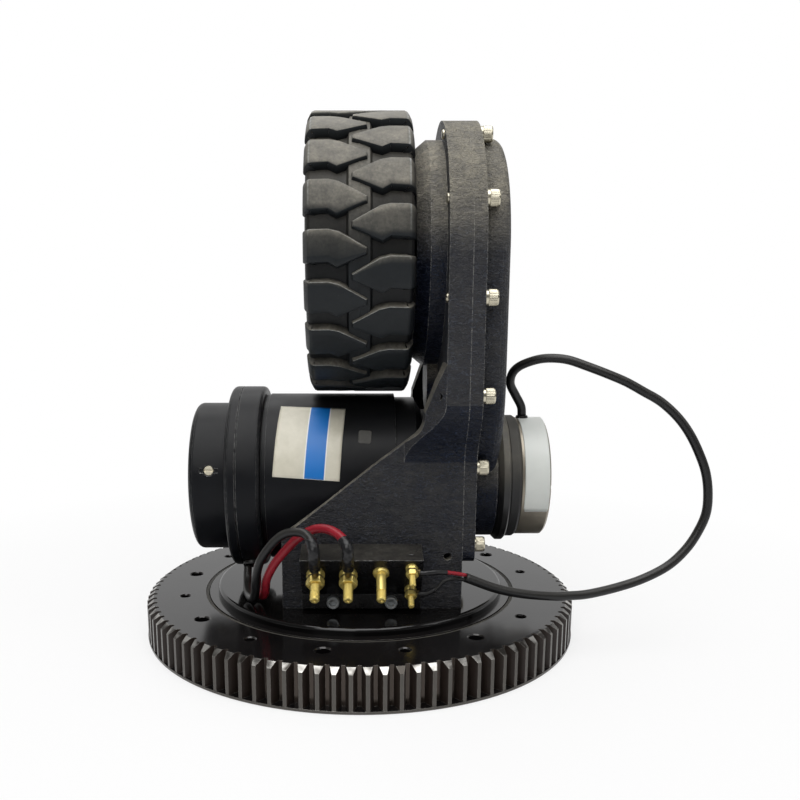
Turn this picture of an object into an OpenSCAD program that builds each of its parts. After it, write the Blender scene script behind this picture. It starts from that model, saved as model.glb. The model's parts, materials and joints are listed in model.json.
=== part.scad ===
// Motorized drive wheel on a slewing ring: a DC motor with a spring-applied brake drives
// a rubber-tyred wheel through two pairs of spur gears in a cast housing.
// X runs along the wheel's axle towards the brake, Z is up, and the origin is the centre
// of the slewing ring's base. All sizes are in millimetres.

/* [Slewing ring] */
// Module of the steering teeth
ring_module = 3; // [2.9:0.05:3.2]
// Number of steering teeth
ring_teeth = 98; // [94:1:106]
// Height of the toothed ring
ring_h = 27; // [24:0.5:32]
// Depth of the chamfer on the teeth's upper ends, towards the axis
tooth_chamfer = 4.4; // [2:0.1:6]
// Height of that chamfer
tooth_chamfer_h = 3; // [1.5:0.1:4]
// Height of the plain rim below the teeth
ring_lip_h = 2; // [1:0.1:3]
// How far the rim stands out past the teeth
ring_lip_out = 0.3; // [0.2:0.1:1]
// Radius of the circle that the race balls run on
race_r = 108; // [106:0.5:112]
// Diameter of the race balls
ball_d = 10; // [8:0.5:11]
// Number of race balls
ball_count = 36; // [24:1:36]
// Radial gap between the toothed ring and the inner ring
ring_gap = 2; // [1.6:0.1:2.4]
// Distance from the ball circle out to the circle of mounting holes
hole_margin = 16; // [14:0.5:20]
// Number of large holes, with as many small ones between them
hole_count = 8; // [4:1:10]
// Diameter of the large mounting holes
large_hole_d = 9.2; // [8:0.2:10]
// Diameter of the small mounting holes
small_hole_d = 6.6; // [5:0.2:7]
// Direction of the first large hole from the axle
first_hole_angle = -10; // [-22:1:22]
// Distance from the inner ring's bore out to the ball circle
inner_ring_w = 23; // [20:0.5:26]
// How far the race seals reach into the toothed ring
seal_step = 0.8; // [0.5:0.1:2]
// How far the inner ring stands above the toothed ring's base
inner_lift = 3; // [2:0.5:5]

/* [Base disc] */
// Distance from the rim of the disc that carries the housing out to the ball circle
disc_step = 7; // [5:0.5:10]
// Height of the disc above the rings
disc_rise = 5; // [4:0.5:8]
// Depth of the disc's spigot inside the inner ring
disc_spigot = 13; // [11:0.5:15]
// Radius of the disc's rounded edge
disc_edge = 2.5; // [1:0.5:3.5]
// Thread size of the screws that hold the disc to the inner ring
disc_screw_d = 6; // [5:1:6]
// Number of screws that hold the disc to the inner ring
disc_screw_count = 12; // [6:1:16]

/* [Gear train] */
// Module of the fast gear pair
fast_module = 1.5; // [1.45:0.05:1.55]
// Teeth on the motor pinion
motor_pinion_teeth = 12; // [12:1:13]
// Teeth on the idler gear
idler_gear_teeth = 78; // [76:1:79]
// Teeth on the idler pinion
idler_pinion_teeth = 13; // [12:1:13]
// Teeth on the output gear
output_gear_teeth = 53; // [51:1:54]
// Width of the idler gear
fast_face = 7; // [6:0.5:7.5]
// Width of the output gear
slow_face = 12; // [10:0.5:12.5]
// Thinning of each tooth, which leaves the backlash
tooth_thinning = 0.1; // [0.06:0.02:0.2]

/* [Housing] */
// Height of the motor's axis above the ring's base
motor_z = 107; // [106:0.5:110]
// Left end of the base block
block_x0 = -50; // [-56:1:-44]
// Half the width of the base block and of the gear case's foot
block_half_w = 65; // [64:0.5:66.5]
// Left face of the gear case wall
case_x0 = 52; // [50:0.5:53]
// Thickness of the gear case wall
case_wall = 6; // [5:0.5:7]
// Right face of the housing, where the cover seats
case_x1 = 66; // [65:0.5:67]
// Distance from the output gear's tips to the outside of the gear case
case_margin = 16.25; // [15.25:0.25:19]
// Bottom of the cover flange
case_bottom = 62; // [60:0.5:64]
// Left end of the hub boss
hub_x0 = 34.2; // [33.5:0.1:35]
// Radius of the hub boss
hub_r = 72.5; // [70:0.5:74]
// Left end of the motor's front flange
motor_flange_x0 = 23.5; // [22:0.5:28]

/* [Gear cover] */
// Thickness of the cover's screw flange
cover_flange_t = 8; // [7:0.5:10]
// Right face of the cover
cover_x1 = 90; // [89:0.5:92]
// How far the cover's raised body stands in from its flange
cover_inset = 10.5; // [10.5:0.5:12]
// Wall of the cover
cover_wall = 5; // [4:0.5:5.5]
// Thread size of the cover screws
cover_screw_d = 6; // [5:1:6]
// Distance from the flange's edge to the middle of a cover screw
cover_screw_edge = 4.8; // [4.8:0.1:5.5]
// Radius of the brake boss
brake_boss_r = 42; // [41:0.5:44]
// Right face of the brake boss
brake_boss_x1 = 92; // [91.5:0.5:94]

/* [Motor] */
// Radius of the motor's steel tube
yoke_r = 57.5; // [56:0.5:58]
// Wall of the motor's steel tube
yoke_wall = 4; // [3:0.5:5]
// Left end of the motor's steel tube
yoke_x0 = -64; // [-68:1:-60]
// Radius of the brush housing
brush_r = 62.5; // [61:0.5:64]
// Length of the brush housing
brush_len = 23; // [20:1:26]
// Radius of the end cap
cap_r = 51; // [48:0.5:54]
// Length of the end cap
cap_len = 25; // [22:1:28]
// Radius of the motor shaft at its front bearing
shaft_r = 8.5; // [8:0.5:9]
// Radius of the armature
armature_r = 44; // [40:0.5:45]
// Number of armature slots
armature_slots = 20; // [16:1:24]

/* [Brake] */
// Radius of the brake's mounting flange
brake_flange_r = 45; // [44:0.5:47]
// Thickness of the brake's mounting flange
brake_flange_t = 7.7; // [7:0.1:9]
// Radius of the dust ring
dust_ring_r = 42.5; // [42:0.5:44]
// Width of the dust ring
dust_ring_w = 7.6; // [7.2:0.1:9]
// Radius of the brake magnet
magnet_r = 41; // [40.5:0.5:42]
// Length of the brake magnet
magnet_len = 19.5; // [17:0.5:24]
// Thickness of the friction disc
brake_disc_t = 4; // [3.5:0.1:4.5]
// Air gap that the armature plate travels
brake_gap = 0.4; // [0.3:0.05:0.5]

/* [Wheel] */
// Radius of the tyre
tyre_r = 90; // [88:0.5:92]
// Greatest width of the tyre
tyre_w = 66; // [62:0.5:66]
// Width of the tyre's crown
crown_w = 59; // [56:0.5:62]
// Depth of the tread grooves
tread_depth = 5.5; // [4:0.5:7]
// Gap between the tyre and the motor below it
tyre_motor_gap = 2.5; // [1.5:0.1:4]
// Turn of the tread, from a lug's middle at the top
lug_phase = 13.4; // [0:0.1:18]
// Number of tread lugs on each side
lug_count = 19; // [17:1:21]
// Outer radius of the rim
rim_r = 66; // [64:0.5:68]
// Width of the rim
rim_w = 58; // [54:1:60]
// Left face of the axle flange, where the rim's web seats
web_x1 = 20; // [18:0.5:22]
// Thickness of the rim's web
web_t = 12; // [10:0.5:14]
// Number of wheel bolts
wheel_bolt_count = 6; // [5:1:6]
// Thread size of the wheel bolts
wheel_bolt_d = 10; // [8:1:10]
// Radius of the axle in its main bearing
axle_r = 22.5; // [21:0.5:23]

/* [Terminal block] */
// Left end of the terminal block
terminal_x0 = -37; // [-39:0.5:-34]
// Right end of the terminal block
terminal_x1 = 39.5; // [38:0.5:42]
// Thread size of the power studs
power_stud_d = 6; // [5:1:6]
// Distance between the power studs
power_pitch = 20.3; // [19:0.1:21]
// Thread size of the signal studs
signal_stud_d = 4; // [3:1:4]
// Distance between the signal studs
signal_pitch = 21.5; // [19:0.5:22]

/* [Fits] */
// Running clearance round every shaft
running_gap = 0.03; // [0.02:0.01:0.06]
// Clearance of pieces that are fastened or pushed in
seat_gap = 0.02; // [0.01:0.01:0.05]

/* [Hidden] */
$fn = 64;

// A cut reaches this far past the face that it opens
cut = 0.5;

// Axes of the gear train, one above the other
fast_centres = fast_module * (motor_pinion_teeth + idler_gear_teeth) / 2;
slow_centres = yoke_r + tyre_motor_gap + tyre_r - fast_centres;
slow_module = 2 * slow_centres / (idler_pinion_teeth + output_gear_teeth);
idler_z = motor_z + fast_centres;
wheel_z = idler_z + slow_centres;

// Places along X of the gears and of their bearings
inner_x0 = case_x0 + case_wall;
slow_x0 = inner_x0 + 1;
slow_x1 = slow_x0 + slow_face;
fast_x0 = slow_x1 + 1.8;
fast_x1 = fast_x0 + fast_face;
cover_flange_x1 = case_x1 + cover_flange_t;
cover_inner_x1 = cover_x1 - cover_wall;
profile_shift = 0.4;
case_r = slow_module * (output_gear_teeth / 2 + 1 - profile_shift) + case_margin;

// Ball bearings, each as bore radius, outer radius and width
axle_bearing = [axle_r, axle_r + 15, 16];
axle_end_bearing = [12.5, 23.5, 11];
idler_bearing = [7.5, 16, 9];
front_bearing = [shaft_r, shaft_r + 9, 10];
pinion_bearing = [5, 13, 8];
rear_bearing = [7.5, 17.5, 11];
axle_bearing_x0 = inner_x0 - 2 - axle_bearing[2];
axle_end_x0 = cover_inner_x1 - 4;
idler_left_x0 = inner_x0 - 1 - idler_bearing[2];
idler_right_x0 = cover_inner_x1 - 2;
pinion_bearing_x0 = cover_inner_x1 - 2;
front_bearing_x0 = case_x0 - front_bearing[2];
idler_boss_r = idler_bearing[1] + 4;
flange_nose_r = fast_centres - idler_boss_r - 1;

// Slewing ring
ring_pitch_r = ring_module * ring_teeth / 2;
ring_tip_r = ring_pitch_r + ring_module;
hole_circle_r = race_r + hole_margin;
inner_bore_r = race_r - inner_ring_w;
disc_r = race_r - disc_step;
outer_race_r = race_r + ring_gap / 2;
inner_race_r = race_r - ring_gap / 2;
race_z = (ring_h + inner_lift) / 2;
race_groove_r = ball_d / 2 + 0.05;
seal_depth = 3.5;
disc_top = ring_h + disc_rise;
disc_bottom = ring_h - disc_spigot;
disc_screw_r = (inner_bore_r + disc_r) / 2;

// Brake, from the cover's boss to the right
brake_flange_x1 = brake_boss_x1 + brake_flange_t;
dust_ring_x1 = brake_flange_x1 + dust_ring_w;
magnet_x1 = dust_ring_x1 + magnet_len;
brake_disc_x0 = brake_flange_x1 + 0.15;
armature_plate_x0 = brake_disc_x0 + brake_disc_t + 0.15;
armature_plate_x1 = dust_ring_x1 - brake_gap;
brake_screw_r = magnet_r - 5;
brake_screw_d = 4;
brake_screw_grip = 8;
brake_hub_half = 7.5;

// Motor, from the yoke to the left
brush_x0 = yoke_x0 - brush_len;
cap_x0 = brush_x0 - cap_len;
commutator_r = 20;
motor_screw_r = 29;

// Cover screws and their washers
washer_t = 1.5;

// Points of an arc from angle a to angle b
function arc(centre, r, a, b, steps) =
    [for (i = [0:steps]) centre + r * [cos(a + (b - a) * i / steps), sin(a + (b - a) * i / steps)]];

// Turned shape: points are [x, radius] pairs, turned about an axis along X at height z
module turned(z, points) {
    translate([0, 0, z]) rotate([0, 90, 0]) rotate_extrude()
        polygon([for (p = points) [p[1], p[0]]]);
}

// Plain ring or disc about an axis along X at height z
module disc_x(z, x0, x1, r) {
    translate([x0, 0, z]) rotate([0, 90, 0]) cylinder(h = x1 - x0, r = r);
}

module ring_x(z, x0, x1, r_out, r_in) {
    difference() {
        disc_x(z, x0, x1, r_out);
        disc_x(z, x0 - cut, x1 + cut, r_in);
    }
}

// Flat outline in Y and Z, drawn as [y, z] points, made solid from x0 to x1
module slab_x(x0, x1) {
    translate([x0, 0, 0]) rotate([90, 0, 90]) linear_extrude(x1 - x0) children();
}

// Socket-head screw, with the underside of its head at the origin and its head upwards
module cap_screw(d, length) {
    head_r = d * 0.83;
    bevel = d * 0.08;
    difference() {
        rotate_extrude() polygon([[0, -length], [d / 2 - bevel, -length], [d / 2, bevel - length],
            [d / 2, 0], [head_r, 0], [head_r, d - bevel], [head_r - bevel, d], [0, d]]);
        translate([0, 0, d * 0.5]) cylinder(h = d, r = d * 0.46, $fn = 6);
    }
}

// Hexagon nut from z = 0 upwards, threaded on a stud of diameter d
module hex_nut(d, height) {
    difference() {
        intersection() {
            cylinder(h = height, r = d * 0.96, $fn = 6);
            rotate_extrude() polygon([[0, 0], [d * 0.86, 0], [d * 0.97, d * 0.1],
                [d * 0.97, height - d * 0.1], [d * 0.86, height], [0, height]]);
        }
        translate([0, 0, -cut]) cylinder(h = height + 2 * cut, r = d / 2 + seat_gap);
    }
}

// Sealed ball bearing: size is [bore radius, outer radius, width]
module bearing(z, x0, size) {
    rim = (size[1] - size[0]) * 0.25;
    dish = 0.6;
    x1 = x0 + size[2];
    bore = size[0] + running_gap;
    shell = size[1];
    turned(z, [[x0, bore], [x0, bore + rim], [x0 + dish, bore + rim], [x0 + dish, shell - rim],
        [x0, shell - rim], [x0, shell], [x1, shell], [x1, shell - rim], [x1 - dish, shell - rim],
        [x1 - dish, bore + rim], [x1, bore + rim], [x1, bore]]);
}

// Involute gear outline. The flank follows the involute of the base circle.
function involute(angle) = tan(angle) * 180 / PI - angle;
function flank_angle(r, base_r, half) =
    r > base_r ? half - involute(acos(base_r / r)) : half;
function gear_outline(m, teeth, shift, steps) =
    let (
        pitch_r = m * teeth / 2,
        base_r = pitch_r * cos(20),
        root_r = pitch_r - m * (1.25 - shift),
        tip_r = pitch_r + m * (1 + shift),
        thickness = m * (PI / 2 + 2 * shift * tan(20)) - tooth_thinning,
        half = thickness / (2 * pitch_r) * 180 / PI + involute(20),
        radii = [for (i = [0:steps]) root_r + (tip_r - root_r) * i / steps]
    )
    [for (t = [0:teeth - 1]) each concat(
        [for (r = radii) let (a = t * 360 / teeth - flank_angle(r, base_r, half)) r * [cos(a), sin(a)]],
        [for (i = [steps:-1:0]) let (r = radii[i], a = t * 360 / teeth + flank_angle(r, base_r, half))
            r * [cos(a), sin(a)]])];

// Gear about an axis along X, turned so that a tooth or a gap points along the given angle
module gear_x(z, x0, x1, m, teeth, shift, turn) {
    translate([x0, 0, z]) rotate([90, 0, 90]) rotate(turn)
        linear_extrude(x1 - x0) polygon(gear_outline(m, teeth, shift, 5));
}

// Copies children at evenly spaced angles about Z
module around_z(count, first = 0) {
    for (i = [0:count - 1]) rotate(first + i * 360 / count) children();
}

// Copies children at evenly spaced angles about an axis along X at height z.
// Children are drawn with that axis as Z and X pointing down.
module around_x(z, count, first = 0) {
    for (i = [0:count - 1])
        translate([0, 0, z]) rotate([first + i * 360 / count, 0, 0]) rotate([0, 90, 0]) children();
}

// Toothed outer ring of the slewing bearing
module ring_gear() {
    lip_r = ring_tip_r + ring_lip_out;
    edge = 0.5;
    color([0.16, 0.16, 0.17]) difference() {
        union() {
            intersection() {
                linear_extrude(ring_h) polygon(gear_outline(ring_module, ring_teeth, 0, 3));
                rotate_extrude() polygon([[0, edge], [lip_r, edge],
                    [lip_r, ring_h - tooth_chamfer_h * (1 + ring_lip_out / tooth_chamfer)],
                    [ring_tip_r - tooth_chamfer, ring_h], [0, ring_h]]);
            }
            rotate_extrude() polygon([[0, 0], [lip_r - edge, 0], [lip_r, edge], [lip_r, ring_lip_h],
                [0, ring_lip_h]]);
        }
        translate([0, 0, -cut]) cylinder(h = ring_h + 2 * cut, r = outer_race_r);
        race_groove();
        for (z = [-cut, ring_h - seal_depth])
            translate([0, 0, z]) cylinder(h = seal_depth + cut, r = outer_race_r + seal_step);
        around_z(hole_count, first_hole_angle) ring_hole(large_hole_d);
        around_z(hole_count, first_hole_angle + 180 / hole_count) ring_hole(small_hole_d);
    }
}

// Mounting hole through the toothed ring, with its mouth bevelled at the top
module ring_hole(d) {
    bevel = 0.7;
    translate([hole_circle_r, 0, 0]) rotate_extrude() polygon([[0, -cut], [d / 2, -cut],
        [d / 2, ring_h - bevel], [d / 2 + bevel + cut, ring_h + cut], [0, ring_h + cut]]);
}

// Round groove that both rings share, in which the balls run
module race_groove() {
    translate([0, 0, race_z]) rotate_extrude() translate([race_r, 0]) circle(r = race_groove_r);
}

// Rubber seals between the two rings, above and below the balls
module ring_seals() {
    color([0.05, 0.05, 0.05]) for (z = [0.5, ring_h - seal_depth]) translate([0, 0, z])
        difference() {
            cylinder(h = seal_depth - 0.5, r = outer_race_r + seal_step - seat_gap);
            translate([0, 0, -cut]) cylinder(h = seal_depth + 2 * cut, r = inner_race_r + 0.5);
        }
}

module race_balls() {
    color([0.8, 0.8, 0.82]) around_z(ball_count)
        translate([race_r, 0, race_z]) sphere(d = ball_d);
}

// Short round spacers that keep the balls apart
module ball_spacers() {
    pitch = 2 * PI * race_r / ball_count;
    color([0.85, 0.83, 0.75]) around_z(ball_count, 180 / ball_count)
        translate([race_r, 0, race_z]) rotate([90, 0, 0])
            cylinder(h = (pitch - ball_d) * 0.85, r = ball_d * 0.38, center = true);
}

// Inner ring of the slewing bearing, with a hole through which the balls go in
module inner_ring() {
    screw_head_h = disc_screw_d + 0.5;
    color([0.14, 0.14, 0.15]) difference() {
        translate([0, 0, inner_lift]) cylinder(h = ring_h - inner_lift, r = inner_race_r);
        translate([0, 0, -cut]) cylinder(h = ring_h + 2 * cut, r = inner_bore_r);
        race_groove();
        filling_hole(ball_d / 2 + 0.6);
        around_z(disc_screw_count, 180 / disc_screw_count) translate([disc_screw_r, 0, 0]) {
            translate([0, 0, inner_lift - cut]) cylinder(h = screw_head_h + cut, r = disc_screw_d * 0.9);
            translate([0, 0, inner_lift]) cylinder(h = ring_h, d = disc_screw_d + 0.4);
        }
    }
}

module filling_hole(r) {
    translate([inner_bore_r - 5, 0, race_z]) rotate([0, 90, 0])
        cylinder(h = race_r - inner_bore_r + 5, r = r);
}

// Plug of the filling hole, with its own stretch of the race
module race_plug() {
    color([0.3, 0.3, 0.32]) difference() {
        intersection() {
            filling_hole(ball_d / 2 + 0.6 - seat_gap);
            translate([0, 0, inner_lift]) cylinder(h = ring_h, r = inner_race_r);
        }
        translate([0, 0, -cut]) cylinder(h = ring_h + 2 * cut, r = inner_bore_r + 0.5);
        race_groove();
    }
}

// Raised disc with a rounded rim, which carries the housing
module base_disc() {
    color([0.1, 0.1, 0.11]) difference() {
        union() {
            rotate_extrude() polygon(concat([[0, ring_h], [disc_r, ring_h]],
                arc([disc_r - disc_edge, disc_top - disc_edge], disc_edge, 0, 90, 8), [[0, disc_top]]));
            translate([0, 0, disc_bottom]) cylinder(h = disc_spigot + 1, r = inner_bore_r - seat_gap);
        }
        around_z(disc_screw_count, 180 / disc_screw_count)
            translate([disc_screw_r, 0, ring_h - cut]) cylinder(h = disc_rise - 1 + cut, d = disc_screw_d);
        block_screw_places() {
            translate([0, 0, disc_bottom - cut]) cylinder(h = 8.5 + cut, r = 7.4);
            translate([0, 0, disc_bottom]) cylinder(h = disc_top, r = 4.2);
        }
    }
}

module disc_screws() {
    color([0.35, 0.35, 0.37]) around_z(disc_screw_count, 180 / disc_screw_count)
        translate([disc_screw_r, 0, inner_lift + disc_screw_d + 0.5]) rotate([180, 0, 0])
            cap_screw(disc_screw_d - 2 * seat_gap, disc_top - 1.5 - inner_lift - disc_screw_d - 0.5);
}

// Places of the four screws that hold the housing down on the disc
module block_screw_places() {
    for (x = [block_x0 + 12, case_x0 - 12]) for (side = [-1, 1])
        translate([x, side * (block_half_w - 17), 0]) children();
}

module block_screws() {
    color([0.35, 0.35, 0.37]) block_screw_places()
        translate([0, 0, disc_bottom + 8.5]) rotate([180, 0, 0])
            cap_screw(8, disc_top + 16 - disc_bottom - 8.5);
}

// Outline of the gear case: a round top about the axle, straight sides, a waist and a narrower foot
module case_outline() {
    top_w = case_r;
    low_w = block_half_w;
    waist_top = idler_z - 8;
    waist_bottom = idler_z - 46;
    corner = 8;
    bottom = case_bottom;
    side = concat([[low_w, bottom + corner], [low_w, waist_bottom]],
        [for (i = [1:9]) [low_w + (top_w - low_w) * (1 - cos(i * 18)) / 2,
            waist_bottom + (waist_top - waist_bottom) * i / 10]],
        [[top_w, waist_top], [top_w, wheel_z]]);
    translate([0, wheel_z]) circle(r = top_w);
    polygon(concat(side, [for (i = [len(side) - 1:-1:0]) [-side[i][0], side[i][1]]],
        arc([-low_w + corner, bottom + corner], corner, 180, 270, 6),
        arc([low_w - corner, bottom + corner], corner, 270, 360, 6)));
}

// Space for the gears, drawn as an outline in Y and Z
module gear_space_outline() {
    translate([0, wheel_z]) circle(r = slow_module * (output_gear_teeth / 2 + 1 - profile_shift) + 2.7);
    translate([0, idler_z]) circle(r = fast_module * (idler_gear_teeth / 2 + 1 - profile_shift) + 2);
    translate([0, motor_z]) circle(r = motor_screw_r + 7);
}

// Side outline of the base block and its two gussets, as [x, z] points
function gusset_outline() = [[block_x0, disc_top], [case_x1, disc_top], [case_x1, idler_z + 30],
    [case_x0 + 4, idler_z + 26], [case_x0 - 5, idler_z + 5], [case_x0 - 12, idler_z - 14],
    each arc([case_x0 - 27, idler_z - 17], 15, 0, -52, 6),
    [7, motor_z + 18], [-24, motor_z - 7], [block_x0, motor_z - 28]];

// Base block with a cradle for the motor and a gusset on each side
module base_block() {
    difference() {
        intersection() {
            translate([0, case_r + cut, 0]) rotate([90, 0, 0])
                linear_extrude(2 * (case_r + cut)) polygon(gusset_outline());
            linear_extrude(wheel_z) polygon([[block_x0, -block_half_w], [28, -block_half_w],
                [case_x0, -case_r], [case_x1, -case_r], [case_x1, case_r], [case_x0, case_r],
                [28, block_half_w], [block_x0, block_half_w]]);
            slab_x(block_x0 - cut, case_x1) union() {
                case_outline();
                translate([-block_half_w, disc_top]) square([2 * block_half_w, motor_z - disc_top]);
            }
        }
        disc_x(motor_z, block_x0 - cut, case_x0, yoke_r + 0.5);
        translate([block_x0 - cut, -yoke_r - 0.5, motor_z])
            cube([case_x0 - block_x0 + cut, 2 * yoke_r + 1, wheel_z]);
    }
}

// Hub boss with its cone, and the boss of the idler's left bearing
module housing_bosses() {
    turned(wheel_z, [[hub_x0, 0], [hub_x0, hub_r - 6.5], [hub_x0 + 8, hub_r], [case_x0 + 1, hub_r],
        [case_x0 + 1, 0]]);
    disc_x(idler_z, idler_left_x0 - 3, case_x0 + 1, idler_boss_r);
}

// Bearing seats and shaft holes of the housing
module housing_bores() {
    disc_x(wheel_z, hub_x0 - cut, inner_x0, axle_r + 2);
    disc_x(wheel_z, hub_x0 - cut, hub_x0 + 5, axle_r + 12.5);
    disc_x(wheel_z, axle_bearing_x0, inner_x0 + cut, axle_bearing[1] + seat_gap);
    disc_x(idler_z, idler_left_x0, inner_x0 + cut, idler_bearing[1] + seat_gap);
    disc_x(motor_z, case_x0 - cut, inner_x0 + cut, 22);
    around_x(motor_z, 4, 45) translate([motor_screw_r, 0, case_x0 - cut])
        cylinder(h = case_wall + 2 * cut, d = 5.4);
}

// Main casting: base block, motor cradle, hub boss and left half of the gear case
module housing() {
    color([0.12, 0.12, 0.14]) difference() {
        union() {
            base_block();
            slab_x(case_x0, case_x1) case_outline();
            housing_bosses();
        }
        slab_x(inner_x0, case_x1 + cut) gear_space_outline();
        housing_bores();
        cover_screw_places() translate([0, 0, -cover_screw_grip - 2])
            cylinder(h = cover_screw_grip + 2 + cut, d = cover_screw_d + 2 * seat_gap);
        block_screw_places() translate([0, 0, disc_top - cut]) cylinder(h = 17 + cut, d = 8 + 2 * seat_gap);
        for (x = terminal_screw_x) translate([x, -block_half_w - cut, terminal_screw_z])
            rotate([-90, 0, 0]) cylinder(h = terminal_screw_grip + cut, d = terminal_screw_d + 2 * seat_gap);
        translate([block_tap_x, -block_half_w - cut, block_tap_z]) rotate([-90, 0, 0])
            cylinder(h = block_tap_depth + cut, d = block_tap_d);
    }
}
block_tap_x = case_x0 + 4.5;
block_tap_z = motor_z - 40;
block_tap_d = 5;
block_tap_depth = 7;
cover_screw_grip = case_x1 - case_x0 + 1.5;

// Places of the cover screws on the housing's right face, with Z pointing to the right
module cover_screw_places() {
    round_r = case_r - cover_screw_edge;
    for (a = [26.4, 68, -26.4, -68])
        translate([case_x1, round_r * sin(a), wheel_z + round_r * cos(a)]) rotate([0, 90, 0]) children();
    for (side = [-1, 1]) for (place = [[round_r, wheel_z - 27], [round_r, idler_z - 2.5],
            [block_half_w - cover_screw_edge, motor_z + 17.5], [block_half_w - 12, case_bottom + 10]])
        translate([case_x1, side * place[0], place[1]]) rotate([0, 90, 0]) children();
}

// Second casting: screw flange, raised body over the gears and boss for the brake
module gear_cover() {
    color([0.12, 0.12, 0.14]) difference() {
        union() {
            slab_x(case_x1, cover_flange_x1) case_outline();
            cover_body();
            turned(motor_z, [[case_x1, 0], [case_x1, brake_boss_r], [brake_boss_x1 - 1, brake_boss_r],
                [brake_boss_x1, brake_boss_r - 1], [brake_boss_x1, 0]]);
            disc_x(wheel_z, cover_x1 - 2, axle_end_x0 + axle_end_bearing[2] + 3, axle_end_bearing[1] + 5);
            disc_x(idler_z, cover_x1 - 2, idler_right_x0 + idler_bearing[2] + 3, idler_bearing[1] + 5);
        }
        slab_x(case_x1 - cut, cover_inner_x1) gear_space_outline();
        disc_x(wheel_z, axle_end_x0, axle_end_x0 + axle_end_bearing[2], axle_end_bearing[1] + seat_gap);
        disc_x(idler_z, idler_right_x0, idler_right_x0 + idler_bearing[2], idler_bearing[1] + seat_gap);
        disc_x(motor_z, pinion_bearing_x0, pinion_bearing_x0 + pinion_bearing[2], pinion_bearing[1] + seat_gap);
        disc_x(motor_z, pinion_bearing_x0, brake_boss_x1 + cut, 7);
        cover_screw_places() translate([0, 0, -cut])
            cylinder(h = cover_flange_t + 2 * cut, d = cover_screw_d + 0.4);
        around_x(motor_z, 3, 30) translate([brake_screw_r, 0, brake_boss_x1 - brake_screw_grip])
            cylinder(h = brake_screw_grip + cut, d = brake_screw_d + 2 * seat_gap);
    }
}

// Raised body of the cover, which reaches a little below the motor's axis: two round ends with
// straight sides between, and a rounded outer edge.
// One profile of [x, distance from the axis] points is turned for the ends and drawn out between.
module cover_body() {
    r = case_r - cover_inset;
    profile = concat([[case_x1, 0], [case_x1, r]],
        arc([cover_x1 - cover_edge, r - cover_edge], cover_edge, 90, 0, 6), [[cover_x1, 0]]);
    turned(wheel_z, profile);
    turned(cover_body_z, profile);
    translate([0, 0, cover_body_z]) linear_extrude(wheel_z - cover_body_z)
        polygon(concat([for (p = profile) [p[0], p[1]]],
            [for (i = [len(profile) - 1:-1:0]) [profile[i][0], -profile[i][1]]]));
}
cover_edge = 7;
cover_body_drop = 2.5;
cover_body_z = motor_z - cover_body_drop + case_r - cover_inset;

module cover_screws() {
    color([0.75, 0.73, 0.68]) cover_screw_places() translate([0, 0, cover_flange_t + washer_t])
        cap_screw(cover_screw_d, cover_flange_t + washer_t + cover_screw_grip);
}

module cover_washers() {
    color([0.7, 0.68, 0.64]) cover_screw_places() translate([0, 0, cover_flange_t]) difference() {
        cylinder(h = washer_t, r = cover_screw_d * 0.81);
        translate([0, 0, -cut]) cylinder(h = washer_t + 2 * cut, d = cover_screw_d + 0.2);
    }
}

// Terminal block: its face leans outwards at the top, and the studs stand square on that face
terminal_top = motor_z - 31.5;
terminal_face = [[-25, -3.5], [-5.5, -32]];
terminal_foot = disc_top + 2;
terminal_lean = atan2(terminal_face[1][0] - terminal_face[0][0], terminal_face[0][1] - terminal_face[1][1]);
terminal_screw_x = [terminal_x0 + 20, terminal_x1 - 19.4];
terminal_screw_z = terminal_foot + 5;
terminal_screw_d = 5;
terminal_screw_grip = 10;
stud_depth = 8;
stud_step = 0.4;
power_stud_down = 11.5;

module terminal_block() {
    color([0.07, 0.07, 0.08]) difference() {
        translate([terminal_x0, 0, 0]) rotate([90, 0, 90]) linear_extrude(terminal_x1 - terminal_x0)
            translate([-block_half_w, terminal_top]) polygon([[0, 0], terminal_face[0], terminal_face[1],
                [terminal_face[1][0], terminal_foot - terminal_top], [0, terminal_foot - terminal_top]]);
        for (x = terminal_screw_x) translate([x, cut - block_half_w, terminal_screw_z])
            rotate([90, 0, 0]) cylinder(h = 40, d = terminal_screw_d + 0.4);
        for (x = power_stud_x) on_terminal(x, power_stud_down, -stud_depth)
            cylinder(h = stud_depth + cut, d = power_stud_d + 2 * stud_step + 2 * seat_gap);
        for (t = signal_stud_t) on_terminal(signal_stud_x, t, -stud_depth)
            cylinder(h = stud_depth + cut, d = signal_stud_d + 2 * stud_step + 2 * seat_gap);
    }
}

// A place on the leaning face: x, distance down the face from its top edge, and height off the face
module on_terminal(x, down, off) {
    translate([x, terminal_face[0][0] - block_half_w, terminal_top + terminal_face[0][1]])
        rotate([terminal_lean, 0, 0]) translate([0, 0, -down]) rotate([90, 0, 0])
            translate([0, 0, off]) children();
}
power_stud_x = [terminal_x0 + 9.7, terminal_x0 + 9.7 + power_pitch, terminal_x0 + 9.7 + 2 * power_pitch];
signal_stud_x = terminal_x1 - 7.2;
signal_stud_t = [6, 6 + signal_pitch];

module terminal_screws() {
    color([0.45, 0.45, 0.47]) for (x = terminal_screw_x)
        translate([x, terminal_face[1][0] - block_half_w, terminal_screw_z])
            rotate([90, 0, 0]) cap_screw(terminal_screw_d, -terminal_face[1][0] + terminal_screw_grip - 1);
}

// Stud set in the block, thicker where it is moulded in and bevelled at its free end
module stud(d, length) {
    bevel = d * 0.1;
    r = d / 2;
    translate([0, 0, -stud_depth]) cylinder(h = stud_depth, r = r + stud_step);
    rotate_extrude() polygon([[0, -1], [r, -1], [r, length - bevel], [r - bevel, length], [0, length]]);
}

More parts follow.
